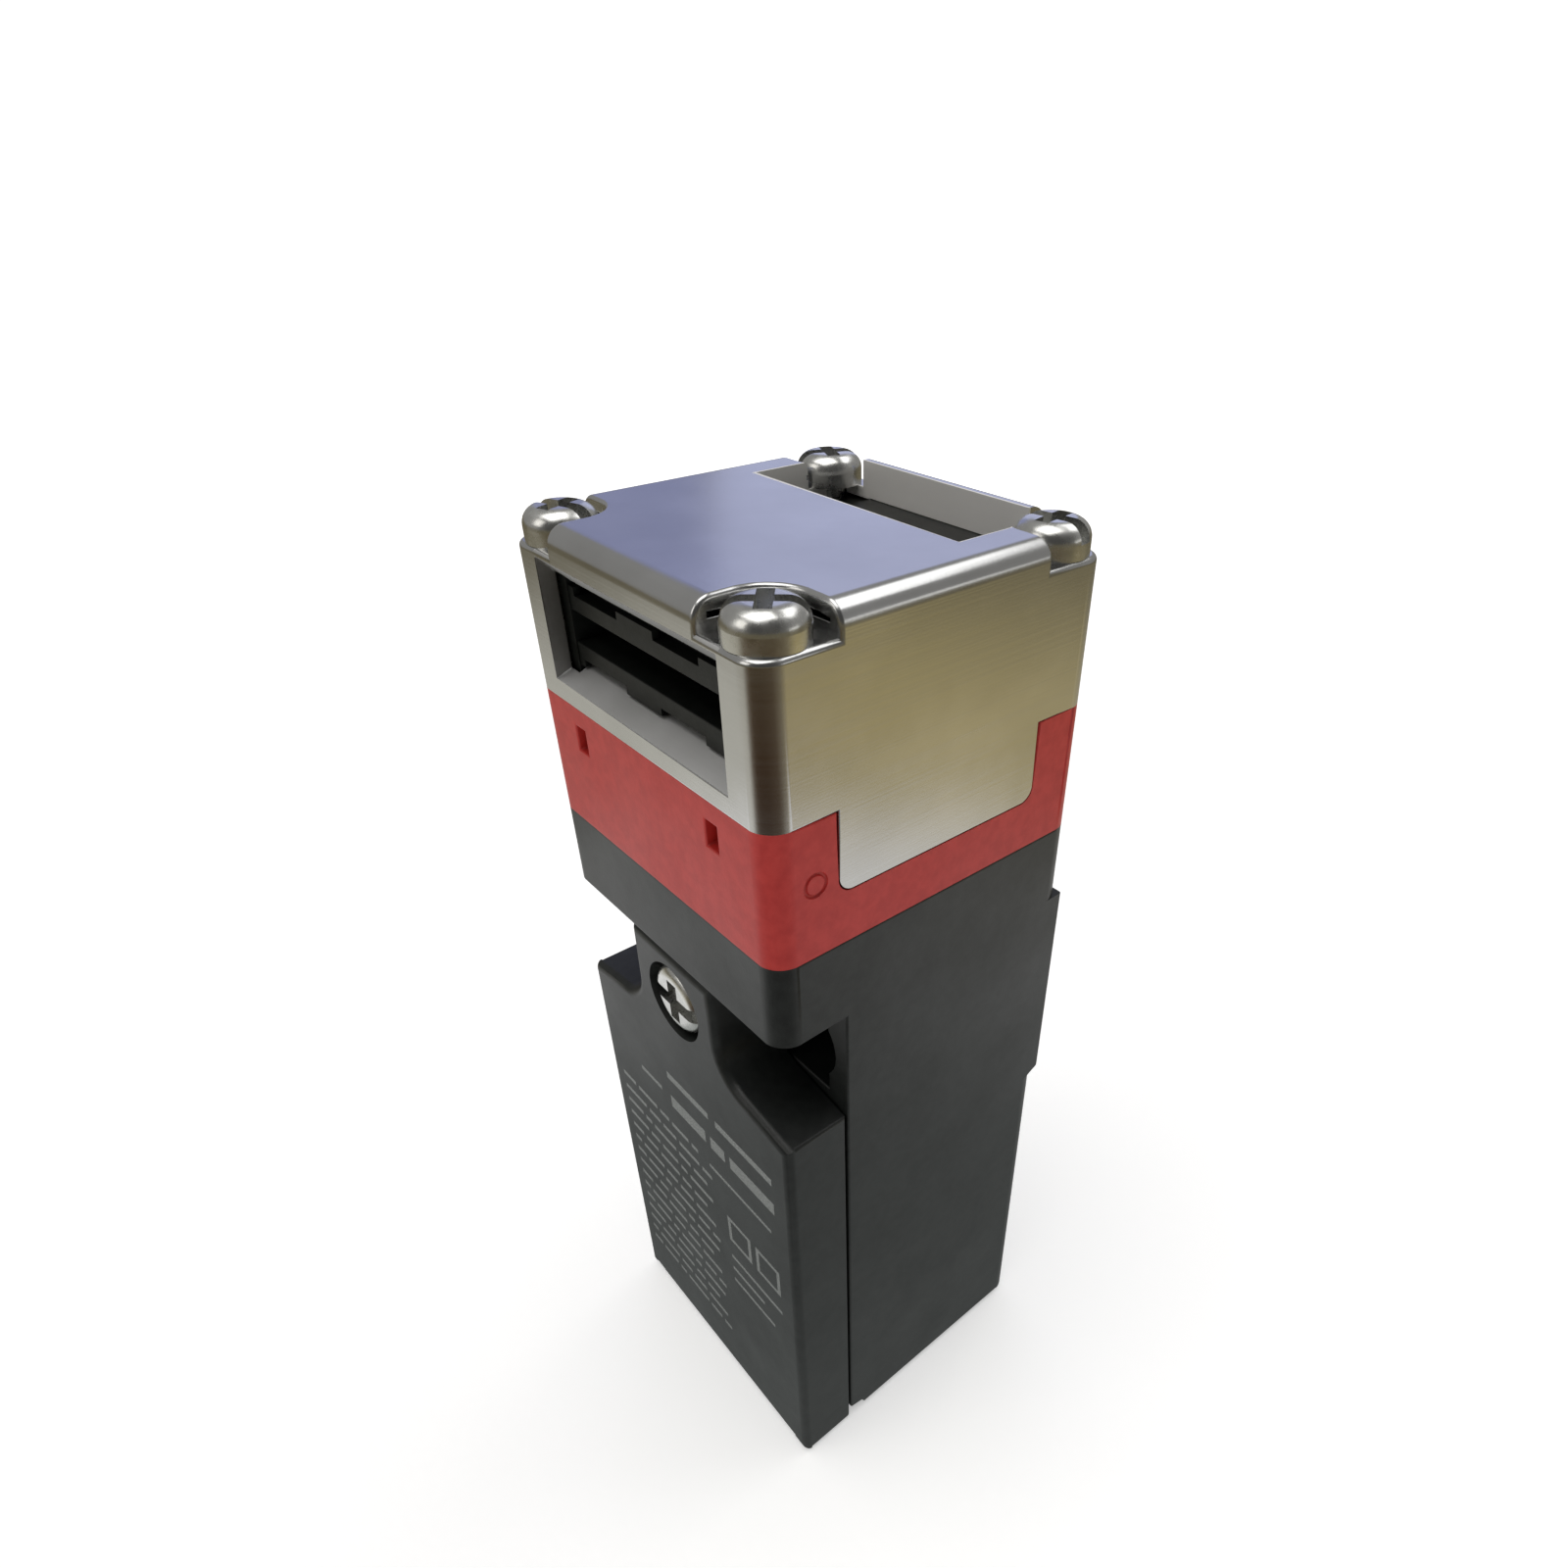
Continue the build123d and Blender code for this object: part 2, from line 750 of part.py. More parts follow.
# Cap of the head, drawn from sheet, with key mouths in the front and the top
with BuildPart() as head_cap:
    with BuildSketch(level(cap_bottom)):
        RectangleRounded(width, depth, cap_corner_radius)
    extrude(amount=cap_height)
    fillet(head_cap.faces().sort_by(Axis.Z)[-1].edges(), cap_bend_radius)
    with BuildSketch(level(cap_bottom)):
        RectangleRounded(
            width - 2 * cap_wall, depth - 2 * cap_wall, cap_corner_radius - cap_wall
        )
    extrude(amount=cap_height - cap_wall, mode=Mode.SUBTRACT)
    # Side tabs that hang over the head base
    for tab_x, amount in ((half_width, -cap_wall), (-half_width, cap_wall)):
        with BuildSketch(facing_side(tab_x)) as tab:
            with Locations((0, (tab_bottom + cap_bottom) / 2)):
                Rectangle(2 * tab_half_width, tab_length)
            fillet(tab.vertices().group_by(Axis.Y)[0], tab_corner_radius)
        extrude(amount=amount)
    # Corner pockets that sink the screw heads
    pad_edge_x = pocket_edge_x - pocket_floor_wall
    pad_edge_y = pocket_edge_y - pocket_floor_wall
    pad_size = pocket_size + pocket_floor_wall - cap_wall + pocket_overlap
    for x_sign in (-1, 1):
        for y_sign in (-1, 1):
            with BuildSketch(level(pocket_floor_z - pocket_floor_wall)):
                with Locations(
                    (x_sign * (pad_edge_x + pad_size / 2), y_sign * (pad_edge_y + pad_size / 2))
                ):
                    Rectangle(pad_size, pad_size)
            extrude(amount=cap_top - cap_wall / 2 - pocket_floor_z)
    cut_size = pocket_size + cap_wall
    for x_sign in (-1, 1):
        for y_sign in (-1, 1):
            with BuildSketch(level(pocket_floor_z)) as corner_pocket:
                with Locations(
                    (
                        x_sign * (pocket_edge_x + cut_size / 2),
                        y_sign * (pocket_edge_y + cut_size / 2),
                    )
                ):
                    Rectangle(cut_size, cut_size)
                inner = corner_pocket.vertices().sort_by(lambda v: abs(v.X) + abs(v.Y))[0]
                fillet(inner, pocket_round)
            extrude(amount=cap_top - pocket_floor_z, mode=Mode.SUBTRACT)
    # Front mouth: the opening, the side flaps, the ramp below and the lip above
    with BuildSketch(facing_front(front_y)):
        with Locations((0, (front_mouth_bottom + front_mouth_top) / 2)):
            Rectangle(2 * mouth_half_width, front_mouth_top - front_mouth_bottom)
    extrude(amount=-cap_wall, mode=Mode.SUBTRACT)
    for span in both_sides(mouth_half_width, mouth_half_width + flap_wall):
        block(span, (front_y + cap_wall / 2, flap_end_y), (front_mouth_bottom, front_mouth_top))
    for reach_y, half in (
        (flap_end_y, mouth_half_width),
        (guide_front_y - flap_gap, slot_half_length - flap_gap),
    ):
        run = reach_y - front_y
        with BuildSketch(facing_side(-half)):
            Polygon(
                (front_y, front_mouth_bottom),
                (reach_y, front_mouth_bottom + ramp_rise * run),
                (reach_y, front_mouth_bottom + ramp_rise * run - flap_wall),
                (front_y, front_mouth_bottom - flap_wall),
                align=None,
            )
        extrude(amount=2 * half)
    for reach_y, half in (
        (flap_end_y, mouth_half_width),
        (bar_front_y + flap_gap, slot_half_length - flap_gap),
    ):
        run = reach_y - front_y
        with BuildSketch(facing_side(-half)):
            Polygon(
                (front_y, front_mouth_top),
                (reach_y, front_mouth_top - lip_drop * run),
                (reach_y, front_mouth_top - lip_drop * run + flap_wall),
                (front_y + flap_wall, front_mouth_top),
                align=None,
            )
        extrude(amount=2 * half)
    # Seats of the back screws, then the top mouth that cuts them, and its flaps
    with BuildSketch(level(pocket_floor_z - pocket_floor_wall)):
        with Locations((-screw_x, screw_y), (screw_x, screw_y)):
            Circle(head_screw_head - pocket_overlap)
    extrude(amount=pocket_floor_wall)
    with BuildSketch(level(cap_top)):
        with Locations((0, (top_mouth_front + top_mouth_back) / 2)):
            Rectangle(2 * mouth_half_width, top_mouth_back - top_mouth_front)
    extrude(amount=-top_flap_depth - pocket_floor_wall, mode=Mode.SUBTRACT)
    for span in both_sides(mouth_half_width, mouth_half_width + flap_wall):
        block(span, (top_mouth_front, pocket_edge_y), (flap_bottom_z, cap_top - cap_wall / 2))
    block(
        (-pocket_edge_x, pocket_edge_x),
        (top_mouth_back, back_y - cap_wall / 2),
        (flap_bottom_z, cap_top - cap_wall / 2),
    )
    block(
        (-mouth_half_width - flap_wall, mouth_half_width + flap_wall),
        (top_mouth_front - flap_wall, top_mouth_front),
        (flap_bottom_z, cap_top - cap_wall / 2),
    )
    # Rolled edges where the corner pockets meet the walls and the top
    corner_depth = 0.3 * cap_corner_radius
    floor_edges = head_cap.edges().filter_by(
        lambda e: abs(e.center().Z - pocket_floor_z) < 0.01
        and max(abs(e.center().X) - half_width, abs(e.center().Y) - back_y) > -corner_depth
        and e.bounding_box().size.Z < 0.01
    )
    fillet(floor_edges, pocket_floor_round)
    rim_edges = head_cap.edges().filter_by(
        lambda e: e.geom_type == GeomType.CIRCLE
        and abs(e.center().Z - cap_top) < 0.01
        and abs(e.radius - pocket_round) < 0.01
    )
    fillet(rim_edges, pocket_rim_round)
    with BuildSketch(level(pocket_floor_z - pocket_floor_wall)):
        with GridLocations(2 * screw_x, 2 * screw_y, 2, 2):
            Circle(head_screw_shank + screw_clearance)
    extrude(amount=pocket_floor_wall, mode=Mode.SUBTRACT)
save(head_cap, "head_cap")

# Key guide inside the cap: two slotted plates, the columns of the screws and the cheeks
guide_half_width = half_width - cap_wall - guide_clearance
guide_back_y = back_y - cap_wall - guide_clearance
guide_bottom = cap_bottom + guide_bottom_gap
with BuildPart() as key_guide:
    with BuildSketch(level(guide_bottom)):
        RectangleRounded(2 * guide_half_width, 2 * guide_back_y, cap_corner_radius - cap_wall)
    extrude(amount=cap_top - cap_wall - guide_clearance - guide_bottom)
    # Room under the corner pockets of the cap
    for x_span in both_sides(pad_edge_x - guide_clearance, half_width):
        for y_span in both_sides(pad_edge_y - guide_clearance, back_y):
            block(
                x_span,
                y_span,
                (pocket_floor_z - pocket_floor_wall - guide_clearance, cap_top),
                mode=Mode.SUBTRACT,
            )
    # Recess behind the front mouth, wide for the flaps and then narrow between the columns
    recess_bottom = front_mouth_bottom - 2 * flap_wall
    recess_top = cap_top - cap_wall - guide_clearance - recess_top_room
    for half, back in (
        (mouth_half_width + flap_wall + guide_clearance, column_front_y),
        (slot_half_length, guide_front_y),
    ):
        block(
            (-half, half), (-guide_back_y, back), (recess_bottom, recess_top), mode=Mode.SUBTRACT
        )
    # Recess under the top mouth
    top_recess_half = mouth_half_width + flap_wall + guide_clearance
    block(
        (-top_recess_half, top_recess_half),
        (top_mouth_front - flap_wall - guide_clearance, guide_back_y),
        (guide_top_z, cap_top),
        mode=Mode.SUBTRACT,
    )
    # Cheeks that reach down beside the cam
    for span in both_sides(guide_cavity_half, cheek_half_width):
        block(
            span,
            (axle_y - cheek_half_depth, axle_y + cheek_half_depth),
            (cheek_bottom, guide_bottom),
        )
    # Cavity for the cam
    block(
        (-guide_cavity_half, guide_cavity_half),
        (cavity_front_y, guide_cavity_back_y),
        (cheek_bottom, cavity_top),
        mode=Mode.SUBTRACT,
    )
    # Two notched bars frame the front slot
    left_tab = (-slot_half_length, left_tab_length - slot_half_length)
    right_tab = (slot_half_length - right_tab_length, slot_half_length)
    for bar_z, tab_z in (
        (bars_bottom + tab_rise, bars_bottom),
        (bars_top - tab_rise - bar_height, bars_top - tab_rise),
    ):
        block(
            (-slot_half_length, slot_half_length),
            (bar_front_y, guide_front_y),
            (bar_z, bar_z + bar_height),
        )
        for tab_span in (left_tab, middle_tab, right_tab):
            block(tab_span, (bar_front_y, bar_front_y + bar_tab_depth), (tab_z, tab_z + tab_rise))
    # The two key slots
    block(
        (-slot_half_length, slot_half_length),
        (bar_front_y, cavity_front_y),
        (front_slot_z - slot_width / 2, front_slot_z + slot_width / 2),
        mode=Mode.SUBTRACT,
    )
    block(
        (-slot_half_length, slot_half_length),
        (top_slot_y - slot_width / 2, top_slot_y + slot_width / 2),
        (cavity_top, guide_top_z),
        mode=Mode.SUBTRACT,
    )
    # Bores of the axle and holes of the screws
    with BuildSketch(facing_side(-cheek_half_width)):
        with Locations((axle_y, axle_z)):
            Circle(axle_radius + running_clearance)
    extrude(amount=2 * cheek_half_width, mode=Mode.SUBTRACT)
    with BuildSketch(level(guide_bottom)):
        with GridLocations(2 * screw_x, 2 * screw_y, 2, 2):
            Circle(head_screw_shank + screw_clearance)
    extrude(amount=cap_height, mode=Mode.SUBTRACT)
save(key_guide, "key_guide")


def around_axle(radius, angle):
    """The point at this radius and angle about the axle, in a plane across X."""
    return (axle_y + radius * cos(radians(angle)), axle_z + radius * sin(radians(angle)))


def flank_point(turn):
    """The lobe's flank where the rod's round tip follows it after this turn of the cam."""
    reach = lobe_radius + rod_tip_gap + rod_radius - cam_rate * turn
    slope = -cam_rate * degrees(1)
    share = (rod_radius + rod_tip_gap) / hypot(reach, slope)
    base_y, base_z = around_axle(reach * (1 - share), turn - 90)
    return (
        base_y - share * slope * sin(radians(turn - 90)),
        base_z + share * slope * cos(radians(turn - 90)),
    )


# Cam: a hub, a lobe over the push rod, and two notched discs that the key turns
with BuildPart() as cam_wheel:
    with BuildSketch(facing_side(-cam_half_width)):
        with Locations((axle_y, axle_z)):
            Circle(hub_radius)
    extrude(amount=2 * cam_half_width)
    last_turn = cam_travel_angle + spiral_overrun
    flank = [flank_point(step * last_turn / 6) for step in range(7)]
    with BuildSketch(facing_side(-lobe_half_width)):
        with Locations((axle_y, axle_z)):
            Circle(lobe_radius)
        with BuildLine():
            Spline(*flank)
            Polyline(
                flank[-1],
                (axle_y, axle_z),
                around_axle(2 * lobe_radius, lobe_start),
                around_axle(2 * lobe_radius, lobe_start + lobe_start_span),
                flank[0],
            )
        make_face(mode=Mode.INTERSECT)
    extrude(amount=2 * lobe_half_width)
    for disc_x in (-disc_inner_x - disc_thickness, disc_inner_x):
        with BuildSketch(facing_side(disc_x)):
            with BuildLine():
                CenterArc(
                    (axle_y, axle_z), disc_radius, sector_start, sector_end - sector_start
                )
                Polyline(
                    around_axle(disc_radius, sector_end),
                    (axle_y, axle_z),
                    around_axle(disc_radius, sector_start),
                )
            make_face()
            with Locations((axle_y, axle_z)):
                Circle(disc_root_radius)
            with Locations((axle_y, axle_z)):
                with Locations(
                    Location((0, 0, 0), (0, 0, front_notch_angle)),
                    Location((0, 0, 0), (0, 0, top_notch_angle)),
                ):
                    with Locations((notch_root_radius + disc_radius / 2, 0)):
                        SlotOverall(disc_radius + notch_width, notch_width, mode=Mode.SUBTRACT)
        extrude(amount=disc_thickness)
    with BuildSketch(facing_side(-cam_half_width)):
        with Locations((axle_y, axle_z)):
            Circle(axle_radius)
    extrude(amount=2 * cam_half_width, mode=Mode.SUBTRACT)
save(cam_wheel, "cam_wheel")

with BuildPart() as cam_axle:
    with BuildSketch(facing_side(-cheek_half_width)):
        with Locations((axle_y, axle_z)):
            Circle(axle_radius)
    extrude(amount=2 * cheek_half_width)
    chamfer(cam_axle.edges().filter_by(GeomType.CIRCLE), axle_end_chamfer)
save(cam_axle, "cam_axle")

# Four screws that hold the cap, the guide and the head base to the collar
head_screw_solid = pan_screw(
    head_screw_head, head_screw_head_height, head_screw_shank, head_screw_length
)
head_screw_turns = {(-1, -1): 20, (-1, 1): 65, (1, -1): 50, (1, 1): 8}
with BuildPart() as head_screws:
    for (x_sign, y_sign), turn in head_screw_turns.items():
        place = (x_sign * screw_x, y_sign * screw_y, pocket_floor_z)
        with Locations(Location(place, (0, 0, turn))):
            add(head_screw_solid)
save(head_screws, "head_screws")

# Contact block, with a chamber for the carrier and ribs between the terminals
strip_levels = (safety_strip_z, signal_strip_z)
rib_middle = (safety_strip_z + strip_thickness + signal_strip_z) / 2
with BuildPart() as contact_block:
    with BuildSketch(level(block_bottom)):
        with Locations((0, (block_front_y + block_back_y) / 2)):
            Rectangle(2 * block_half_width, block_back_y - block_front_y)
    extrude(amount=block_top - block_bottom)
    top_edges = contact_block.edges().filter_by(Axis.Y).group_by(Axis.Z)[-1]
    fillet(top_edges, chamber_corner_radius)
    block(
        (-block_chamber_half, block_chamber_half),
        (block_front_y, block_chamber_back_y),
        (block_chamber_bottom, block_chamber_top),
        mode=Mode.SUBTRACT,
    )
    # Feet at both lower corners, cut back for the fixing screws
    foot_inner_x = block_screw_x - boss_radius - foot_gap
    for span in both_sides(foot_inner_x, block_half_width):
        for y_span in ((block_front_y, foot_front_y), (boss_front_y, block_back_y)):
            block(span, y_span, (block_bottom, block_bottom + foot_height), mode=Mode.SUBTRACT)
    with BuildSketch(facing_front(block_back_y)):
        with Locations((0, block_screw_z)):
            with GridLocations(2 * block_screw_x, 0, 2, 1):
                Circle(block_screw_shank + screw_clearance)
    extrude(amount=block_back_y - block_front_y, mode=Mode.SUBTRACT)
    # Slots for the strips, and blind holes behind the terminal screws
    for strip_z in strip_levels:
        for span in both_sides(strip_plate_inner, strip_plate_outer):
            block(
                span,
                (block_front_y, strip_back_y),
                (strip_z, strip_z + strip_thickness),
                mode=Mode.SUBTRACT,
            )
    # Ribs that part the terminals
    for span in both_sides(cover_half_width, block_half_width):
        block(
            span,
            (rib_front_y, block_front_y),
            (rib_middle - rib_thickness / 2, rib_middle + rib_thickness / 2),
        )
    # Pin that centres the return spring, and the way of the push rod
    with BuildSketch(level(block_chamber_bottom)):
        with Locations((0, axle_y)):
            Circle(spigot_pin_radius)
    extrude(amount=spigot_pin_height)
    with BuildSketch(level(block_chamber_top)):
        with Locations((0, axle_y)):
            Circle(rod_radius + rod_clearance)
    extrude(amount=block_top - block_chamber_top, mode=Mode.SUBTRACT)
    terminal_heights = (
        safety_strip_z + strip_thickness - strip_plate_height / 2 - strip_thickness / 2,
        signal_strip_z + strip_plate_height / 2 + strip_thickness / 2,
    )
    with BuildSketch(facing_front(block_front_y)):
        for height in terminal_heights:
            with Locations((0, height)):
                with GridLocations(2 * terminal_x, 0, 2, 1):
                    Circle(terminal_shank + screw_clearance)
    extrude(amount=-terminal_length, mode=Mode.SUBTRACT)
save(contact_block, "contact_block")

# Cover over the chamber of the contact block, with a rib that guides the carrier
with BuildPart() as contact_cover:
    block(
        (-cover_half_width, cover_half_width),
        (block_front_y - cover_thickness, block_front_y),
        (cover_bottom, block_top),
    )
    block(
        (-cover_guide_half, cover_guide_half),
        (block_front_y, block_front_y + cover_guide_depth),
        (block_chamber_bottom + cover_guide_margin, block_chamber_top - cover_guide_margin),
    )
    fillet(contact_cover.faces().sort_by(Axis.Y)[0].edges(), cover_edge_radius)
save(contact_cover, "contact_cover")


def terminal_strip(x_sign, strip_z, plate_up):
    """A folded strip: a tongue with a contact, and an upright plate for the screw."""
    strip_top = strip_z + strip_thickness
    plate_z = (strip_z, strip_z + strip_plate_height)
    rivet_z = strip_top
    screw_z = terminal_heights[1]
    if not plate_up:
        plate_z = (strip_top - strip_plate_height, strip_top)
        rivet_z = strip_z - rivet_height
        screw_z = terminal_heights[0]
    side = 0 if x_sign > 0 else 1
    plate_span = both_sides(strip_plate_inner, strip_plate_outer)[side]
    tongue_span = both_sides(strip_inner_x, strip_plate_outer)[side]
    plate_front_y = block_front_y - strip_thickness
    with BuildPart() as strip:
        block(plate_span, (plate_front_y, block_front_y), plate_z)
        block(plate_span, (plate_front_y, strip_back_y), (strip_z, strip_top))
        block(tongue_span, (axle_y - strip_tongue_front, strip_back_y), (strip_z, strip_top))
        with BuildSketch(level(rivet_z)):
            with Locations((x_sign * contact_x, axle_y)):
                Circle(contact_radius)
        extrude(amount=rivet_height)
        with BuildSketch(facing_front(block_front_y)):
            with Locations((x_sign * terminal_x, screw_z)):
                Circle(terminal_shank + pilot_clearance)
        extrude(amount=strip_thickness, mode=Mode.SUBTRACT)
    return strip


for circuit, strip_z, plate_up in (
    ("safety", safety_strip_z, False),
    ("signal", signal_strip_z, True),
):
    for side, x_sign in (("left", -1), ("right", 1)):
        save(terminal_strip(x_sign, strip_z, plate_up), f"{circuit}_terminal_{side}")

# Square clamp washers and the terminal screws
washer_back_y = block_front_y - strip_thickness
with BuildPart() as clamp_washers:
    with BuildSketch(facing_front(washer_back_y)):
        for height in terminal_heights:
            with Locations((0, height)):
                with GridLocations(2 * terminal_x, 0, 2, 1):
                    RectangleRounded(2 * washer_half, 2 * washer_half, washer_corner_radius)
                    Circle(terminal_shank + screw_clearance, mode=Mode.SUBTRACT)
    extrude(amount=washer_thickness)
save(clamp_washers, "clamp_washers")

terminal_screw_solid = pan_screw(
    terminal_head, terminal_head_height, terminal_shank, terminal_length
)
with BuildPart() as terminal_screws:
    for height in terminal_heights:
        for x_sign, turn in ((-1, 15), (1, 70)):
            place = (x_sign * terminal_x, washer_back_y - washer_thickness, height)
            with Locations(Location(place, (90, 0, 0))):
                with Locations(Location((0, 0, 0), (0, 0, turn))):
                    add(terminal_screw_solid)
save(terminal_screws, "terminal_screws")

block_screw_solid = pan_screw(
    block_screw_head, block_screw_head_height, block_screw_shank, block_screw_length
)
with BuildPart() as block_screws:
    for x_sign in (-1, 1):
        place = (x_sign * block_screw_x, foot_front_y, block_screw_z)
        with Locations(Location(place, (90, 0, 0))):
            add(block_screw_solid)
save(block_screws, "block_screws")

# Carrier, with a window for each bridge and its leaf spring
with BuildPart() as contact_carrier:
    with BuildSketch(level(carrier_bottom)):
        with Locations((0, axle_y)):
            Rectangle(2 * carrier_half_width, 2 * carrier_half_depth)
    extrude(amount=carrier_top - carrier_bottom)
    for window_z0 in (carrier_z, safety_bridge_top - window_room):
        block(
            (-carrier_half_width, carrier_half_width),
            (axle_y - window_half_depth, axle_y + window_half_depth),
            (window_z0, window_z0 + window_room),
            mode=Mode.SUBTRACT,
        )
    with BuildSketch(level(carrier_top)):
        with Locations((0, axle_y)):
            Circle(rod_radius)
    extrude(amount=-carrier_end / 2, mode=Mode.SUBTRACT)
save(contact_carrier, "contact_carrier")

# Bridges, each with a contact at both ends
for circuit, bar_z, rivet_z in (
    ("safety", safety_bridge_top - bridge_thickness, safety_bridge_top),
    ("signal", carrier_z, carrier_z - rivet_height),
):
    with BuildPart() as bridge:
        with BuildSketch(level(bar_z)):
            with Locations((0, axle_y)):
                RectangleRounded(
                    2 * bridge_half_length, 2 * bridge_half_depth, bridge_corner_radius
                )
        extrude(amount=bridge_thickness)
        with BuildSketch(level(rivet_z)):
            with Locations((-contact_x, axle_y), (contact_x, axle_y)):
                Circle(contact_radius)
        extrude(amount=rivet_height)
    save(bridge, f"{circuit}_bridge")

# Bowed leaf springs that press the bridges to their seats in the carrier
leaf_rise = window_room - bridge_thickness - spring_leaf
with BuildPart() as bridge_springs:
    for base_z, toward in (
        (safety_bridge_top - window_room, 1),
        (carrier_z + window_room, -1),
    ):
        with BuildSketch(facing_front(axle_y + leaf_half_depth)):
            with BuildLine():
                ThreePointArc(
                    (-leaf_half_length, base_z),
                    (0, base_z + toward * leaf_rise),
                    (leaf_half_length, base_z),
                )
                Line((leaf_half_length, base_z), (leaf_half_length + spring_leaf, base_z))
                ThreePointArc(
                    (leaf_half_length + spring_leaf, base_z),
                    (0, base_z + toward * (leaf_rise + spring_leaf)),
                    (-leaf_half_length - spring_leaf, base_z),
                )
                Line((-leaf_half_length - spring_leaf, base_z), (-leaf_half_length, base_z))
            make_face()
        extrude(amount=2 * leaf_half_depth)
save(bridge_springs, "bridge_springs")

# Push rod with a rounded tip under the cam
with BuildPart() as push_rod:
    with BuildSketch(level(carrier_top - carrier_end / 2)):
        with Locations((0, axle_y)):
            Circle(rod_radius)
    extrude(amount=rod_tip_z - carrier_top + carrier_end / 2)
    fillet(push_rod.faces().sort_by(Axis.Z)[-1].edges(), rod_radius - rod_tip_flat)
save(push_rod, "push_rod")

# Return spring under the carrier
coil_base = block_chamber_bottom + wire_radius + spring_seat_gap
coil_height = spring_room - 2 * (wire_radius + spring_seat_gap)
with BuildPart() as return_spring:
    with BuildLine() as coil:
        Helix(
            pitch=coil_height / spring_turns,
            height=coil_height,
            radius=spring_radius,
            center=(0, axle_y, coil_base),
        )
    with BuildSketch(Plane(origin=coil.line @ 0, z_dir=coil.line % 0)):
        Circle(wire_radius)
    sweep()
save(return_spring, "return_spring")
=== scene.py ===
# %% [markdown]
# # Dressing a door interlock switch for the camera
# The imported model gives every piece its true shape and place. This script adds the finishes,
# the small moulded details, the studio and the camera. Everything is in metres.

import json
import math

import bmesh
import bpy
from mathutils import Matrix, Vector
from mathutils.geometry import intersect_point_line

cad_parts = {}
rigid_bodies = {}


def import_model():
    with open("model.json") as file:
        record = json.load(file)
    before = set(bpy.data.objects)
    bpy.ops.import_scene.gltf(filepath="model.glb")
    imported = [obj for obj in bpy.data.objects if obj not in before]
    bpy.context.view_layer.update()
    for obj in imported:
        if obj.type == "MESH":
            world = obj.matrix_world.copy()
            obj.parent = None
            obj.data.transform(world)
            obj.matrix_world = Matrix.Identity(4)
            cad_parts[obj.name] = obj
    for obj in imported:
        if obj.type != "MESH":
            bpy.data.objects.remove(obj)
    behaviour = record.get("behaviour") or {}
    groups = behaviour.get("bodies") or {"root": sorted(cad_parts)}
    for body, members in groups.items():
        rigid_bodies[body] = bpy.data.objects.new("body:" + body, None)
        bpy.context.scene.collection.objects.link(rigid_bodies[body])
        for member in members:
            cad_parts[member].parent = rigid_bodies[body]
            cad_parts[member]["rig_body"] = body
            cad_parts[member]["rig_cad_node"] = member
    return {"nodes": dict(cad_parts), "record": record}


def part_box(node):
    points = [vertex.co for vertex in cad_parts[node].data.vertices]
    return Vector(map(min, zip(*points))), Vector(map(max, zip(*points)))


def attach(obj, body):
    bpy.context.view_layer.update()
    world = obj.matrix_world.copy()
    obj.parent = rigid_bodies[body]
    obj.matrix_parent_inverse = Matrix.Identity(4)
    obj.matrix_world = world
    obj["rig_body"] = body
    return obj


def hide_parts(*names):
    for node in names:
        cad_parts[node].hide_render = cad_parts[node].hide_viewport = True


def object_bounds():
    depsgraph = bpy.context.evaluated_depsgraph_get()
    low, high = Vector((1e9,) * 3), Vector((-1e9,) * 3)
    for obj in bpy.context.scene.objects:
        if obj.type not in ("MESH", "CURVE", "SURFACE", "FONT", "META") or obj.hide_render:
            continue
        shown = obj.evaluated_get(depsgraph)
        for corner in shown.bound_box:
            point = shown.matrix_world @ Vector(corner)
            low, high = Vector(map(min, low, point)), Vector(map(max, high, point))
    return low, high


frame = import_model()
cad_low, cad_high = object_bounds()
MM = 0.001
cad_size = [round(side / MM, 2) for side in cad_high - cad_low]
print("nodes:", len(frame["nodes"]), "size in mm:", cad_size)

# %% [markdown]
# ## The camera
# A photograph fixes where its camera stood. The edges of a 30 mm square body give that place,
# the viewing direction and the lens. The slight shift moves the object inside the square
# picture, as cropping a larger photograph does.

# %% Camera
camera_place = Vector((57.175, -43.574, 108.831)) * MM
camera_azimuth = math.radians(48.7476)
camera_elevation = math.radians(35.6168)
camera_roll = math.radians(0.4192)
picture_side = 1600
focal_length_in_pixels = 1036.09
optical_axis_in_pixels = (890.0, 900.0)
sensor_width = 36.0
nearest_seen = 0.005

camera_data = bpy.data.cameras.new("camera")
camera_data.sensor_width = sensor_width
camera_data.lens = focal_length_in_pixels / picture_side * sensor_width
camera_data.shift_x = (picture_side / 2 - optical_axis_in_pixels[0]) / picture_side
camera_data.shift_y = (optical_axis_in_pixels[1] - picture_side / 2) / picture_side
camera_data.clip_start = nearest_seen
camera = bpy.data.objects.new("camera", camera_data)
bpy.context.scene.collection.objects.link(camera)
camera.matrix_world = (
    Matrix.Translation(camera_place)
    @ Matrix.Rotation(camera_azimuth, 4, "Z")
    @ Matrix.Rotation(math.pi / 2 - camera_elevation, 4, "X")
    @ Matrix.Rotation(camera_roll, 4, "Z")
)
bpy.context.scene.camera = camera
print("lens in mm:", round(camera_data.lens, 2))

# %% [markdown]
# ## Nodes for a finish
# A finish is a small network: noise in object coordinates varies the colour and the roughness
# a little and gives the surface its grain. The helpers below add and join nodes, so that each
# finish can be read as a short recipe. Values that are the same all over the surface are set
# on the shader itself.

# %% Helpers for materials
NOISE_MIDDLE = (0.3, 0.7)


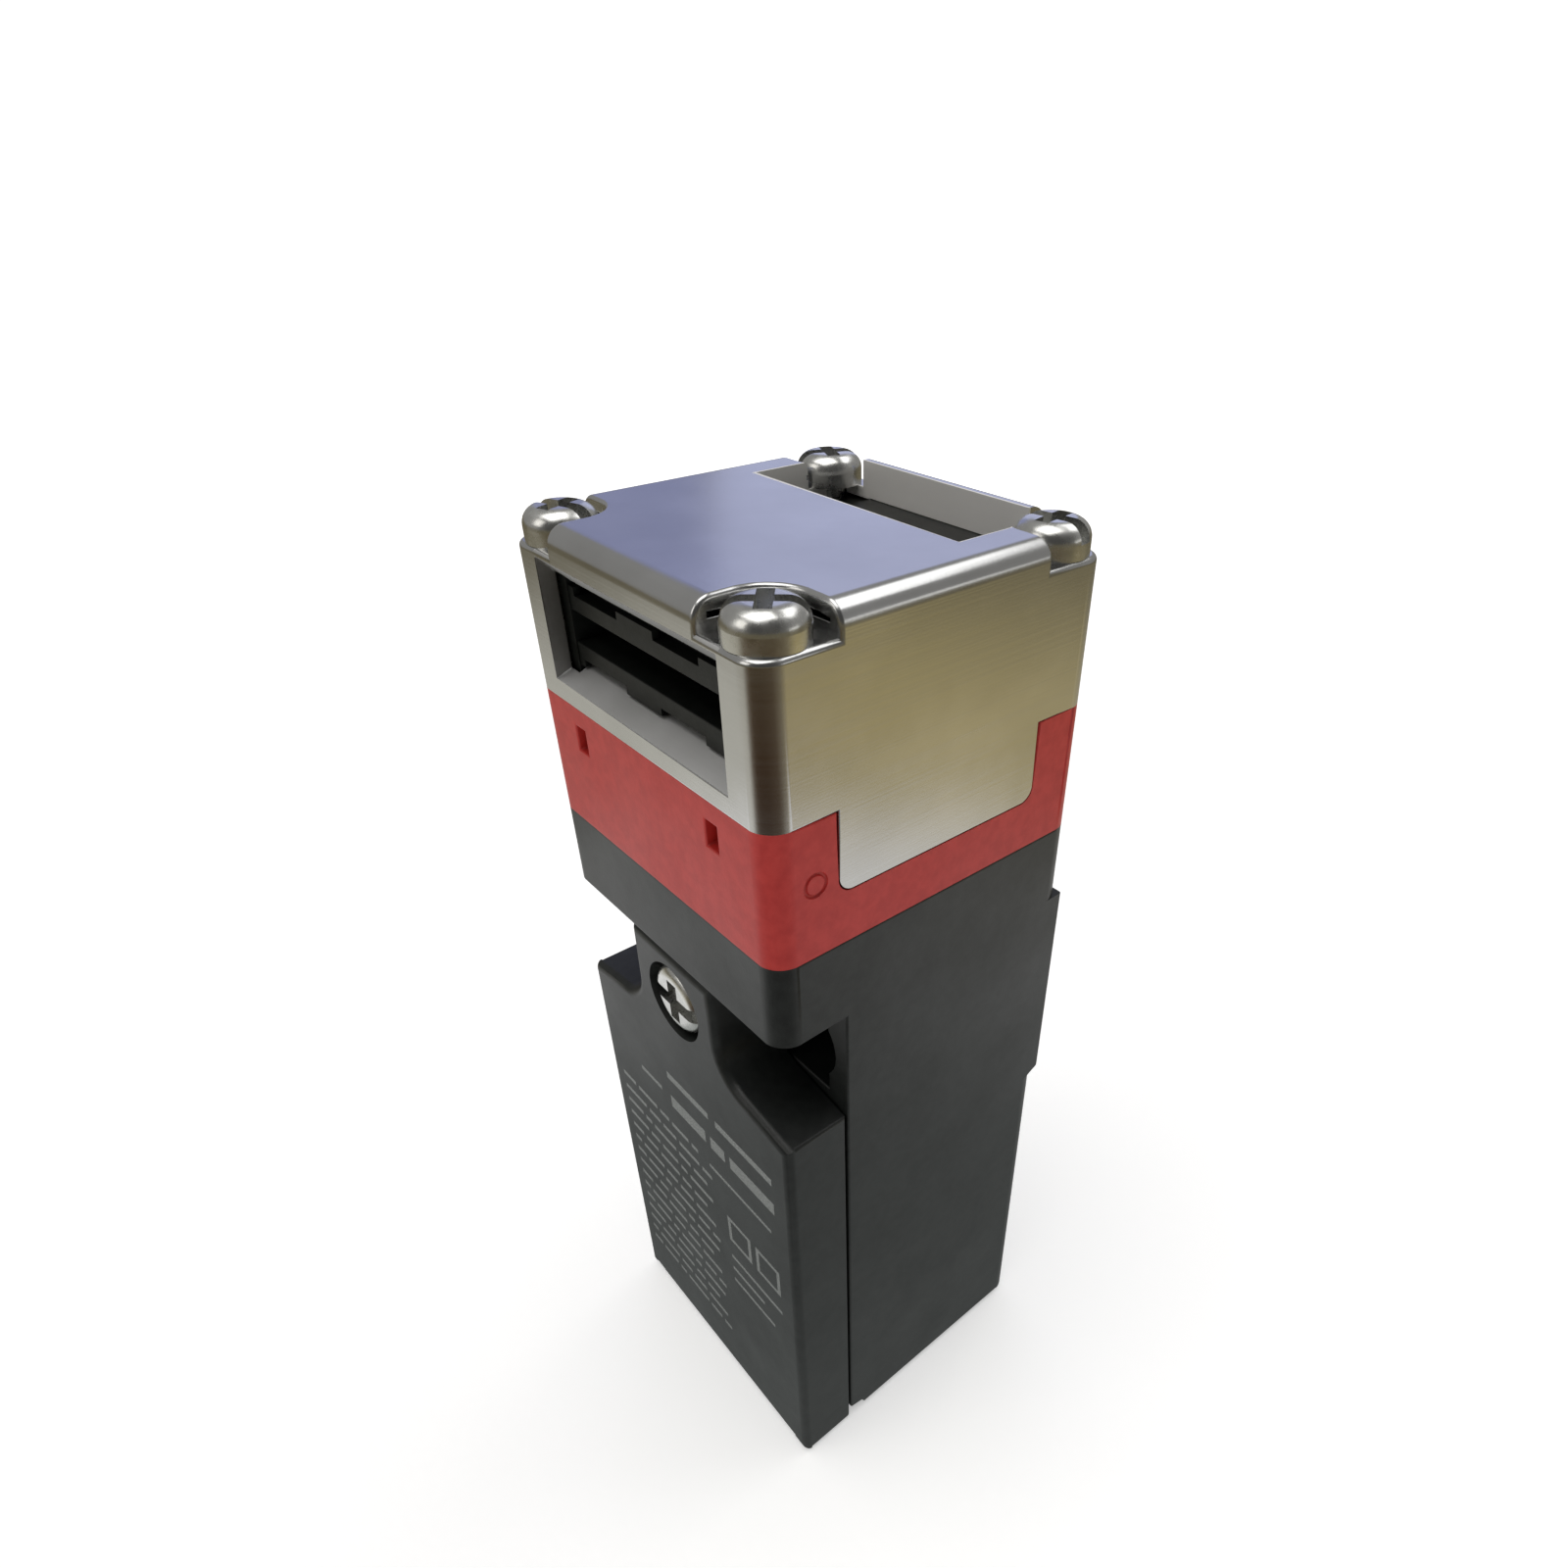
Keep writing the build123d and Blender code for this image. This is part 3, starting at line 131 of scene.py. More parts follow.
def start_finish(name, **constants):
    """A new material with its shader, whose constant values are given by socket name."""
    material = bpy.data.materials.new(name)
    material.use_nodes = True
    shader = material.node_tree.nodes["Principled BSDF"]
    for socket, value in constants.items():
        shader.inputs[socket.replace("_", " ")].default_value = value
    return material, shader


def add_noise(material, scale, detail=2.0, stretch=(1.0, 1.0, 1.0)):
    """A noise in object coordinates. A larger stretch makes it finer along that axis."""
    nodes, links = material.node_tree.nodes, material.node_tree.links
    place = nodes.new("ShaderNodeTexCoord")
    mapping = nodes.new("ShaderNodeMapping")
    mapping.inputs["Scale"].default_value = stretch
    noise = nodes.new("ShaderNodeTexNoise")
    noise.inputs["Scale"].default_value = scale
    noise.inputs["Detail"].default_value = detail
    links.new(place.outputs["Object"], mapping.inputs["Vector"])
    links.new(mapping.outputs["Vector"], noise.inputs["Vector"])
    return noise.outputs["Fac"]


def blend_colours(material, factor, dark, light, low=0.35, high=0.65):
    """Runs from the dark to the light colour as the factor goes from low to high."""
    ramp = material.node_tree.nodes.new("ShaderNodeValToRGB")
    ramp.color_ramp.elements[0].position = low
    ramp.color_ramp.elements[0].color = (*dark, 1.0)
    ramp.color_ramp.elements[1].position = high
    ramp.color_ramp.elements[1].color = (*light, 1.0)
    material.node_tree.links.new(factor, ramp.inputs["Fac"])
    return ramp.outputs["Color"]


def map_range(owner, source, from_span, to_span=(0.0, 1.0), smooth=False):
    """Maps one span of an output to another, with soft ends if they are asked for."""
    node = owner.node_tree.nodes.new("ShaderNodeMapRange")
    node.interpolation_type = "SMOOTHSTEP" if smooth else "LINEAR"
    for end, value in zip(("From Min", "From Max", "To Min", "To Max"), (*from_span, *to_span)):
        node.inputs[end].default_value = value
    owner.node_tree.links.new(source, node.inputs["Value"])
    return node.outputs["Result"]


def spread_value(material, noise, low, high):
    """Maps the middle of a noise to the span from low to high."""
    return map_range(material, noise, NOISE_MIDDLE, (low, high))


def add_bump(material, shader, heights):
    """Chains one bump for each (height, depth, strength) and plugs the last one in."""
    nodes, links = material.node_tree.nodes, material.node_tree.links
    previous = None
    for height, depth, strength in heights:
        bump = nodes.new("ShaderNodeBump")
        bump.inputs["Distance"].default_value = depth
        bump.inputs["Strength"].default_value = strength
        links.new(height, bump.inputs["Height"])
        if previous:
            links.new(previous.outputs["Normal"], bump.inputs["Normal"])
        previous = bump
    links.new(previous.outputs["Normal"], shader.inputs["Normal"])


def plug(material, shader, **sources):
    """Joins the given outputs to the shader's sockets."""
    for socket, source in sources.items():
        material.node_tree.links.new(source, shader.inputs[socket.replace("_", " ")])


# %% [markdown]
# ## Moulded plastics
# The body, the lid and the red base are glass-filled plastic from a spark-eroded mould. Such a
# mould leaves a fine, even, matt grain of about 0.15 mm, and the fibres leave a faint mottle.
# One noise mottles the colour, a broad one varies how matt the surface is, and two finer ones
# make the grain and its shallow ripple.

# %% Plastic finishes
MOTTLE_SCALE, PATCH_SCALE = 1100.0, 150.0
GRAIN_SCALE, RIPPLE_SCALE = 6500.0, 900.0
GRAIN_DEPTH, RIPPLE_DEPTH = 0.012 * MM, 0.01 * MM


def moulded_plastic(name, dark, light, matt, gloss=0.42):
    """Matt moulded plastic with a fine eroded grain."""
    material, shader = start_finish(name, Specular_IOR_Level=gloss)
    mottle = add_noise(material, MOTTLE_SCALE, detail=4.0)
    patches = add_noise(material, PATCH_SCALE, detail=3.0)
    grain = add_noise(material, GRAIN_SCALE)
    ripple = add_noise(material, RIPPLE_SCALE, detail=3.0)
    plug(
        material,
        shader,
        Base_Color=blend_colours(material, mottle, dark, light),
        Roughness=spread_value(material, patches, matt - 0.03, matt + 0.04),
    )
    add_bump(material, shader, [(grain, GRAIN_DEPTH, 0.55), (ripple, RIPPLE_DEPTH, 0.35)])
    return material


finishes = {
    "black_plastic": moulded_plastic(
        "black_moulding", (0.009, 0.0105, 0.010), (0.014, 0.016, 0.015), matt=0.42
    ),
    # The key guide is darker and less glossy than the body: partly its own black plastic, partly
    # painted shade for the shade down in the mouths where it lies.
    "guide_plastic": moulded_plastic(
        "key_guide_moulding_with_painted_shade", (0.006, 0.007, 0.006), (0.010, 0.011, 0.010), matt=0.40, gloss=0.22
    ),
    "red_plastic": moulded_plastic(
        "red_moulding", (0.400, 0.022, 0.018), (0.465, 0.031, 0.025), matt=0.42, gloss=0.32
    ),
    "ivory_plastic": moulded_plastic(
        "ivory_moulding", (0.600, 0.545, 0.430), (0.660, 0.610, 0.500), matt=0.40
    ),
    "cam_plastic": moulded_plastic(
        "cam_moulding", (0.055, 0.056, 0.058), (0.080, 0.081, 0.083), matt=0.36
    ),
}
print("plastics:", sorted(finishes))

# %% [markdown]
# ## Metals, seals and contacts
# The cap of the head is drawn from satin stainless sheet, which is left matt where its two
# mouths are cut. Inside the top mouth its colour is painted much lighter than the sheet: painted
# light for the light that falls into the mouth. The sheet's rolling lines are very fine and run
# round the head, so a noise that is stretched sideways varies how matt it is and bumps it. The
# screws are zinc plated: brighter, with a faint cloudiness. Brass and rubber are only seen
# inside.

# %% Helpers for places and sums
def place_parts(material):
    """The X, Y and Z of the shaded point in object coordinates, by name."""
    place = material.node_tree.nodes.new("ShaderNodeTexCoord")
    parts = material.node_tree.nodes.new("ShaderNodeSeparateXYZ")
    material.node_tree.links.new(place.outputs["Object"], parts.inputs["Vector"])
    return parts.outputs


def combine(material, operation, *sources):
    """The result of a Math node on outputs or numbers."""
    node = material.node_tree.nodes.new("ShaderNodeMath")
    node.operation = operation
    for socket, source in zip(node.inputs, sources):
        if isinstance(source, (int, float)):
            socket.default_value = source
        else:
            material.node_tree.links.new(source, socket)
    return node.outputs["Value"]


def inside_box(material, low_mm, high_mm):
    """1 inside the box between two corners in millimetres, 0 outside it."""
    parts = place_parts(material)
    inside = None
    for axis, low, high in zip("XYZ", low_mm, high_mm):
        middle, reach = (low + high) / 2 * MM, (high - low) / 2 * MM
        band = combine(material, "COMPARE", parts[axis], middle, reach)
        inside = combine(material, "MULTIPLY", inside, band) if inside else band
    return inside


def mix_colours(material, factor, first, second):
    """Mixes two colours, each given as a value or as an output."""
    mix = material.node_tree.nodes.new("ShaderNodeMix")
    mix.data_type = "RGBA"
    for socket, source in (("Factor", factor), ("A", first), ("B", second)):
        target = next(s for s in mix.inputs if s.name == socket and s.enabled)
        if isinstance(source, tuple):
            target.default_value = (*source, 1.0)
        else:
            material.node_tree.links.new(source, target)
    return next(s for s in mix.outputs if s.enabled)


# %% Metal and rubber finishes
TOP_MOUTH = ((-11.4, 3.8, 85.0), (11.4, 13.3, 88.90))
FRONT_MOUTH = ((-11.4, -14.95, 76.0), (11.4, -11.0, 86.5))
TOP_MOUTH_MATT, FRONT_MOUTH_MATT = 0.50, 0.36
# Painted light: the top mouth's colour is much lighter than the sheet, for the light that falls
# in there.
TOP_MOUTH_PAINTED_LIGHT = (0.95, 0.94, 0.92)
SHEET_DARK, SHEET_LIGHT = (0.52, 0.52, 0.515), (0.60, 0.60, 0.60)
ROLLING_SCALE, CLOUD_SCALE, SHEET_GRAIN_SCALE = 700.0, 110.0, 5200.0
LEVEL_ON_THE_SIDES = (0.05, 0.05, 9.0)
LEVEL_ON_THE_TOP = (0.06, 9.0, 0.06)


def satin_steel(name):
    """Satin stainless sheet with faint rolling lines that run level, left matt in the mouths, and
    painted light that makes the top mouth lighter.
    """
    material, shader = start_finish(name, Metallic=1.0)
    in_top_mouth = inside_box(material, *TOP_MOUTH)
    in_front_mouth = inside_box(material, *FRONT_MOUTH)
    matt_in_mouths = combine(
        material,
        "ADD",
        combine(material, "MULTIPLY", in_top_mouth, TOP_MOUTH_MATT),
        combine(material, "MULTIPLY", in_front_mouth, FRONT_MOUTH_MATT),
    )
    lines = add_noise(material, ROLLING_SCALE, detail=4.0, stretch=LEVEL_ON_THE_SIDES)
    top_lines = add_noise(material, ROLLING_SCALE, detail=4.0, stretch=LEVEL_ON_THE_TOP)
    cloud = add_noise(material, CLOUD_SCALE, detail=4.0)
    grain = add_noise(material, SHEET_GRAIN_SCALE)
    sheet_colour = blend_colours(material, cloud, SHEET_DARK, SHEET_LIGHT)
    # Inside the top mouth the sheet's colour gives way to the painted light.
    plug(
        material,
        shader,
        Base_Color=mix_colours(material, in_top_mouth, sheet_colour, TOP_MOUTH_PAINTED_LIGHT),
        Roughness=combine(
            material,
            "ADD",
            spread_value(material, cloud, 0.215, 0.255),
            combine(material, "ADD", spread_value(material, lines, -0.03, 0.03), matt_in_mouths),
        ),
    )
    heights = [(lines, 0.007 * MM, 0.45), (top_lines, 0.004 * MM, 0.25), (grain, 0.006 * MM, 0.4)]
    add_bump(material, shader, heights)
    return material


def plated_metal(name, dark, light, shine):
    """Turned or pressed metal with a thin bright plating."""
    material, shader = start_finish(name, Metallic=1.0)
    cloud = add_noise(material, 900.0, detail=4.0)
    grain = add_noise(material, 6000.0)
    plug(
        material,
        shader,
        Base_Color=blend_colours(material, cloud, dark, light),
        Roughness=spread_value(material, cloud, shine - 0.04, shine + 0.08),
    )
    add_bump(material, shader, [(grain, 0.008 * MM, 0.4)])
    return material


def soft_rubber(name):
    """Black seal rubber with a dusty bloom."""
    material, shader = start_finish(name, Specular_IOR_Level=0.3)
    bloom = add_noise(material, 700.0, detail=5.0)
    plug(
        material,
        shader,
        Base_Color=blend_colours(material, bloom, (0.016, 0.016, 0.016), (0.034, 0.034, 0.033)),
        Roughness=spread_value(material, bloom, 0.62, 0.8),
    )
    add_bump(material, shader, [(bloom, 0.02 * MM, 0.4)])
    return material


finishes["satin_steel"] = satin_steel("satin_steel_sheet")
finishes["plated_steel"] = plated_metal(
    "zinc_plating", (0.60, 0.60, 0.58), (0.72, 0.72, 0.70), shine=0.24
)
finishes["brass"] = plated_metal(
    "contact_brass", (0.62, 0.44, 0.17), (0.74, 0.56, 0.26), shine=0.28
)
finishes["rubber"] = soft_rubber("seal_rubber")

slot_of_node = {part["node"]: part["material_slot"] for part in frame["record"]["subparts"]}
for node, part in frame["nodes"].items():
    for material_slot in part.material_slots:
        material_slot.material = finishes[slot_of_node[node]]
print("finished nodes:", len(slot_of_node))

# %% [markdown]
# ## Softened edges
# No moulded or pressed part has an edge of zero width: the tool's edge is broken, and that
# narrow band catches the light. It could be faked in the shader, but real faces also show in
# an exported model. So each large part is copied and the copy's loose triangles are merged into
# flat faces. Then the bevel operator rounds the sharp edges that have room on both sides.
# Weighted normals keep the large faces flat beside the narrow ones.

# %% Which edges are rounded
SHARP = math.radians(40)
LEAST_LENGTH = 1.0 * MM
LEAST_ROOM = 0.6 * MM
LEAST_GAP = 0.35 * MM


def room_beside(edge, face):
    """How far the face reaches from the edge, at right angles to it."""
    middle = (edge.verts[0].co + edge.verts[1].co) / 2
    inward = face.normal.cross(edge.verts[1].co - edge.verts[0].co).normalized()
    reaches = [(corner.co - middle).dot(inward) for corner in face.verts]
    return max(max(reaches), -min(reaches))


def passes_close(corner, edge):
    """True if the corner lies beside the edge, between its ends, with too small a gap."""
    if corner in edge.verts:
        return False
    nearest, share = intersect_point_line(corner.co, edge.verts[0].co, edge.verts[1].co)
    return 0 < share < 1 and (corner.co - nearest).length < LEAST_GAP


def stands_clear(edge, face):
    """True if nothing else in the face's outline comes close to the edge."""
    if any(passes_close(corner, edge) for corner in face.verts):
        return False
    return not any(passes_close(end, other) for other in face.edges for end in edge.verts)


def select_sharp_edges(piece):
    """Selects the long sharp edges with room on both sides and returns how many there are."""
    shape = bmesh.from_edit_mesh(piece.data)
    for edge in shape.edges:
        edge.select_set(
            edge.is_manifold
            and edge.calc_face_angle() > SHARP
            and edge.calc_length() > LEAST_LENGTH
            and min(room_beside(edge, face) for face in edge.link_faces) > LEAST_ROOM
            and all(stands_clear(edge, face) for face in edge.link_faces)
        )
    bmesh.update_edit_mesh(piece.data)
    return sum(edge.select for edge in shape.edges)


# %% Copies with softened edges
MERGED_WITHIN = 0.002 * MM
FLAT_WITHIN = math.radians(1.0)
SMOOTH_BELOW = math.radians(50)
LARGE_FACE = 20 * MM * MM
UPRIGHT = math.cos(math.radians(20))


def take_up(piece):
    """Selects this piece alone and makes it the active one."""
    bpy.ops.object.select_all(action="DESELECT")
    piece.select_set(True)
    bpy.context.view_layer.objects.active = piece


def copy_part(node, name):
    """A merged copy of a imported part, left in edit mode with edge selection."""
    take_up(frame["nodes"][node])
    bpy.ops.object.duplicate()
    piece = bpy.context.object
    piece.name = name
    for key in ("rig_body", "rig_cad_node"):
        del piece[key]
    bpy.ops.mesh.customdata_custom_splitnormals_clear()
    bpy.ops.object.mode_set(mode="EDIT")
    bpy.ops.mesh.select_mode(type="EDGE")
    bpy.ops.mesh.select_all(action="SELECT")
    bpy.ops.mesh.remove_doubles(threshold=MERGED_WITHIN)
    bpy.ops.mesh.dissolve_limited(angle_limit=FLAT_WITHIN)
    return piece


def level_large_faces(piece):
    """Turns the few corner normals that lean over on a large face back to its own normal."""
    normals = [corner.vector.copy() for corner in piece.data.corner_normals]
    for face in piece.data.polygons:
        if face.area > LARGE_FACE:
            for corner in face.loop_indices:
                if normals[corner].dot(face.normal) < UPRIGHT:
                    normals[corner] = face.normal.copy()
    piece.data.normals_split_custom_set(normals)


def stand_for(piece, node):
    """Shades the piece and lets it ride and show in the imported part's place."""
    take_up(piece)
    bpy.ops.object.shade_smooth_by_angle(angle=SMOOTH_BELOW)
    piece.modifiers.new("flat faces stay flat", "WEIGHTED_NORMAL").keep_sharp = True
    bpy.ops.object.modifier_apply(modifier="flat faces stay flat")
    level_large_faces(piece)
    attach(piece, frame["nodes"][node]["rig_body"])
    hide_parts(node)


def soften(node, name, width_mm, steps=2):
    """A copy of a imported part, its long sharp edges rounded but kept inside its own box."""
    piece = copy_part(node, name)
    count = select_sharp_edges(piece)
    width = width_mm * MM
    bpy.ops.mesh.bevel(offset=width, segments=steps, clamp_overlap=False, loop_slide=False)
    bpy.ops.object.mode_set(mode="OBJECT")
    low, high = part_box(node)
    for corner in piece.data.vertices:
        corner.co = [min(max(c, least), most) for c, least, most in zip(corner.co, low, high)]
    print(name, "rounded edges:", count, "faces:", len(piece.data.polygons))
    return piece


cap = soften("head_cap", "cap_shell", width_mm=0.12)
lid = soften("lid", "lid_cover", width_mm=0.28, steps=3)
moulding = soften("housing", "body_moulding", width_mm=0.20)
red_base = soften("head_base", "red_collar", width_mm=0.15)
insert = soften("key_guide", "slot_insert", width_mm=0.08)
for piece, node in ((cap, "head_cap"), (insert, "key_guide")):
    stand_for(piece, node)

# %% [markdown]
# ## The thread of the conduit port
# The base takes a cable gland with a thread of 20 mm by 1.5 mm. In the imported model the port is
# a plain bore. Here a screw-shaped cutter, one profile swept up a helix by the Screw modifier,
# is taken out of the wall with a Boolean, which is also how a tap cuts it.

# %% The cutter for the thread
PORT_Y = 3.0 * MM
BORE_RADIUS = 9.19 * MM
THREAD_DEPTH = 0.75 * MM
CUTTER_OVERLAP = 0.25 * MM
PITCH = 1.5 * MM
TURNS, STEPS_A_TURN = 5, 72
THREAD_START = -0.7 * PITCH
FOOT_SHARE, CREST_SHARE = 0.86, 0.22

bpy.ops.object.select_all(action="DESELECT")
profile_middle = Vector((BORE_RADIUS + (THREAD_DEPTH - CUTTER_OVERLAP) / 2, 0, 0))
bpy.ops.mesh.primitive_plane_add(size=1, location=profile_middle, rotation=(math.pi / 2, 0, 0))
cutter = bpy.context.object
cutter.name = "thread_cutter"
cutter.scale = (THREAD_DEPTH + CUTTER_OVERLAP, FOOT_SHARE * PITCH, 1)
bpy.ops.object.transform_apply(location=True, rotation=True, scale=True)
for corner in cutter.data.vertices:
    corner.select = corner.co.x > BORE_RADIUS
bpy.ops.object.mode_set(mode="EDIT")
bpy.ops.mesh.select_mode(type="VERT")
crest = Vector((BORE_RADIUS + THREAD_DEPTH, 0, 0))
bpy.ops.transform.resize(value=(1, 1, CREST_SHARE / FOOT_SHARE), center_override=crest)
bpy.ops.mesh.select_all(action="SELECT")
bpy.ops.mesh.delete(type="ONLY_FACE")
bpy.ops.object.mode_set(mode="OBJECT")
helix = cutter.modifiers.new("helix", "SCREW")
helix.axis = "Z"
helix.angle = 2 * math.pi
helix.screw_offset = PITCH
helix.iterations = TURNS
helix.steps = helix.render_steps = STEPS_A_TURN
helix.use_merge_vertices = False
bpy.ops.object.modifier_apply(modifier="helix")
bpy.ops.object.mode_set(mode="EDIT")
bpy.ops.mesh.select_all(action="SELECT")
bpy.ops.mesh.remove_doubles(threshold=MERGED_WITHIN)
bpy.ops.mesh.select_all(action="DESELECT")
bpy.ops.mesh.select_non_manifold(extend=False)
bpy.ops.mesh.fill_holes(sides=0)
bpy.ops.mesh.select_all(action="SELECT")
bpy.ops.mesh.normals_make_consistent(inside=False)
bpy.ops.transform.translate(value=(0, PORT_Y, THREAD_START))
bpy.ops.object.mode_set(mode="OBJECT")
print("cutter faces:", len(cutter.data.polygons))


# %% Cut the thread
def cut_with(piece, cutter, name):
    """Takes the cutter out of the piece and removes it."""
    before = len(piece.data.polygons)
    cut = piece.modifiers.new(name, "BOOLEAN")
    cut.operation = "DIFFERENCE"
    cut.solver = "EXACT"
    cut.object = cutter
    take_up(piece)
    bpy.ops.object.modifier_apply(modifier=name)
    bpy.data.objects.remove(cutter)
    print(name, "faces:", len(piece.data.polygons) - before)


cut_with(moulding, cutter, "thread")
stand_for(moulding, "housing")

# %% [markdown]
# ## The mould mark
# A small ring is sunk beside the tab on the right of the red base, as moulders mark a cavity.
# A torus that lies half in the surface leaves a round-bottomed groove.

# %% Sink the ring
MARK_Y, MARK_Z = -11.4 * MM, 70.6 * MM
RING_RADIUS, GROOVE_RADIUS = 0.85 * MM, 0.16 * MM

bpy.ops.object.select_all(action="DESELECT")
bpy.ops.mesh.primitive_torus_add(
    major_radius=RING_RADIUS,
    minor_radius=GROOVE_RADIUS,
    major_segments=40,
    minor_segments=12,
    location=(cad_high.x, MARK_Y, MARK_Z),
    rotation=(0, math.pi / 2, 0),
)
ring = bpy.context.object
bpy.ops.object.transform_apply(location=True, rotation=True, scale=True)
cut_with(red_base, ring, "mark")
stand_for(red_base, "head_base")

# %% [markdown]
# ## Print on the lid
# The lid carries a print in pale ink, made of plain bars and square frames: a heading, a row of
# broad bars and a column of short rows. Each bar is a slab 0.01 mm thick that stands 0.005 mm
# proud, as thin as real ink. The lid's face is set back as little, so that the ink ends at the
# true face.

# %% Where the bars lie
# Each bar is its left end, the height of its middle, its length and its own height, in mm.
bars = [
    (-3.3, 41.3, 6.6, 0.8),
    (4.4, 41.3, 8.1, 0.8),
    (-3.2, 37.9, 5.6, 1.5),
    (3.2, 37.9, 2.2, 1.5),
    (6.2, 37.9, 6.4, 1.5),
    (-8.4, 38.3, 3.6, 0.5),
    (2.5, 34.2, 9.4, 0.4),
    (4.6, 22.8, 8.0, 0.45),
    (4.6, 20.9, 5.1, 0.45),
    (4.6, 19.0, 6.6, 0.45),
]
FRAME_LEFTS, FRAME_FOOT = (4.6, 9.0), 25.6
FRAME_SIDE, FRAME_LINE = 3.6, 0.45
for left in FRAME_LEFTS:
    far = FRAME_SIDE - FRAME_LINE
    bars += [
        (left, FRAME_FOOT, FRAME_SIDE, FRAME_LINE),
        (left, FRAME_FOOT + far, FRAME_SIDE, FRAME_LINE),
        (left, FRAME_FOOT + far / 2, FRAME_LINE, far - FRAME_LINE),
        (left + far, FRAME_FOOT + far / 2, FRAME_LINE, far - FRAME_LINE),
    ]

ROW_TOP, ROW_PITCH, ROW_COUNT = 34.2, 1.9, 15
ROW_LEFT, ROW_RIGHT, SHORT_ROW_RIGHT = -12.8, 2.6, 0.9
BAR_HEIGHT, BAR_GAP, LEAST_BAR = 0.50, 0.55, 0.8
BAR_LENGTHS = (2.3, 3.4, 1.6, 2.8, 1.1, 3.9, 2.0)
made = 0
for row in range(ROW_COUNT):
    left, right = ROW_LEFT, ROW_RIGHT if row % 4 else SHORT_ROW_RIGHT
    while left < right - LEAST_BAR:
        length = min(BAR_LENGTHS[made % len(BAR_LENGTHS)], right - left)
        bars.append((left, ROW_TOP - ROW_PITCH * row, length, BAR_HEIGHT))
        left += length + BAR_GAP
        made += 1
print("bars on the lid:", len(bars))

# %% Set the lid's face back
INK_THICKNESS = 0.010 * MM
INK_PROUD = 0.005 * MM
AT_THE_FACE = 0.001 * MM

take_up(lid)
for corner in lid.data.vertices:
    corner.select = corner.co.y < cad_low.y + AT_THE_FACE
bpy.ops.object.mode_set(mode="EDIT")
bpy.ops.mesh.select_mode(type="VERT")
bpy.ops.transform.translate(value=(0, INK_PROUD, 0))
bpy.ops.object.mode_set(mode="OBJECT")
stand_for(lid, "lid")

# %% Lay the ink
bpy.ops.object.select_all(action="DESELECT")
bpy.ops.mesh.primitive_plane_add(size=MM, location=(0, 0, 0), rotation=(math.pi / 2, 0, 0))
lid_print = bpy.context.object
lid_print.name = "lid_print"
bpy.ops.object.transform_apply(location=True, rotation=True, scale=True)
bpy.ops.object.mode_set(mode="EDIT")
bpy.ops.mesh.delete(type="VERT")
for left, middle_z, length, height in bars:
    middle = Vector(((left + length / 2) * MM, cad_low.y, middle_z * MM))
    bpy.ops.mesh.primitive_plane_add(size=MM, location=middle, rotation=(math.pi / 2, 0, 0))
    bpy.ops.transform.resize(value=(length, 1, height), center_override=middle)
bpy.ops.mesh.select_all(action="SELECT")
bpy.ops.mesh.extrude_region_move(TRANSFORM_OT_translate={"value": (0, INK_THICKNESS, 0)})
bpy.ops.mesh.select_all(action="SELECT")
bpy.ops.mesh.normals_make_consistent(inside=False)
bpy.ops.object.mode_set(mode="OBJECT")


def pale_ink(name):
    """Thin pale ink with a slightly worn, uneven cover."""
    material, shader = start_finish(name, Specular_IOR_Level=0.3)
    cover = add_noise(material, 5200.0)
    plug(
        material,
        shader,
        Base_Color=blend_colours(material, cover, (0.15, 0.16, 0.155), (0.25, 0.26, 0.25)),
        Roughness=spread_value(material, cover, 0.45, 0.6),
    )
    return material


lid_print.data.materials.append(pale_ink("pale_ink"))
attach(lid_print, "body")
print("faces of ink:", len(lid_print.data.polygons))

# %% [markdown]
# ## The studio
# Product photographs are often lit by a bright table and a few soft panels in a dim room, and
# polished metal shows all of them. Here the object stands on a pale table under a dome of white.
# The table's glow is painted light: it gives light of its own, dimmer near the object and
# brighter further out. The panels are placed where the faces of the cap mirror them: the top
# mirrors a low bluish panel at the back on the left, and the rolled edge on the right a bright
# one behind.

# %% The pale table
TABLE_SIZE = 6.0
GLOW_RISE_SPAN = (0.12, 0.60)
TABLE_GLOW = (0.43, 0.92)


def distance_from_middle(material):
    """How far the shaded point lies from the object's origin."""
    place = material.node_tree.nodes.new("ShaderNodeTexCoord")
    reach = material.node_tree.nodes.new("ShaderNodeVectorMath")
    reach.operation = "LENGTH"
    material.node_tree.links.new(place.outputs["Object"], reach.inputs[0])
    return reach.outputs["Value"]


def table_with_painted_glow():
    """Pale sheet with painted light: it glows of itself, dimmer near the object and brighter
    further out.
    """
    material, shader = start_finish("table_with_painted_glow", Specular_IOR_Level=0.1, Roughness=0.9)
    fibre = add_noise(material, 1500.0, detail=3.0)
    distance = distance_from_middle(material)
    # The emission is painted light: the table glows more the further it lies from the object's
    # middle.
    shader.inputs["Emission Color"].default_value = (1.0, 1.0, 1.0, 1.0)
    plug(
        material,
        shader,
        Base_Color=blend_colours(material, fibre, (0.90, 0.90, 0.90), (0.93, 0.93, 0.93)),
        Emission_Strength=map_range(material, distance, GLOW_RISE_SPAN, TABLE_GLOW, smooth=True),
    )
    return material


bpy.ops.object.select_all(action="DESELECT")
bpy.ops.mesh.primitive_plane_add(size=TABLE_SIZE, location=(0, 0, cad_low.z))
table = bpy.context.object
table.name = "table"
bpy.ops.object.transform_apply(location=True, rotation=False, scale=True)
table.data.materials.append(table_with_painted_glow())
table.visible_glossy = False
print("table reaches", TABLE_SIZE / 2, "m each way")

# %% [markdown]
# The white dome closes the picture above the table, so no horizon shows. It is seen by the
# camera alone: if it also lit the object, every side would be equally bright and look flat.

# %% The white dome
DOME_RADIUS = 0.45 * TABLE_SIZE
DOME_GLOW = 1.1


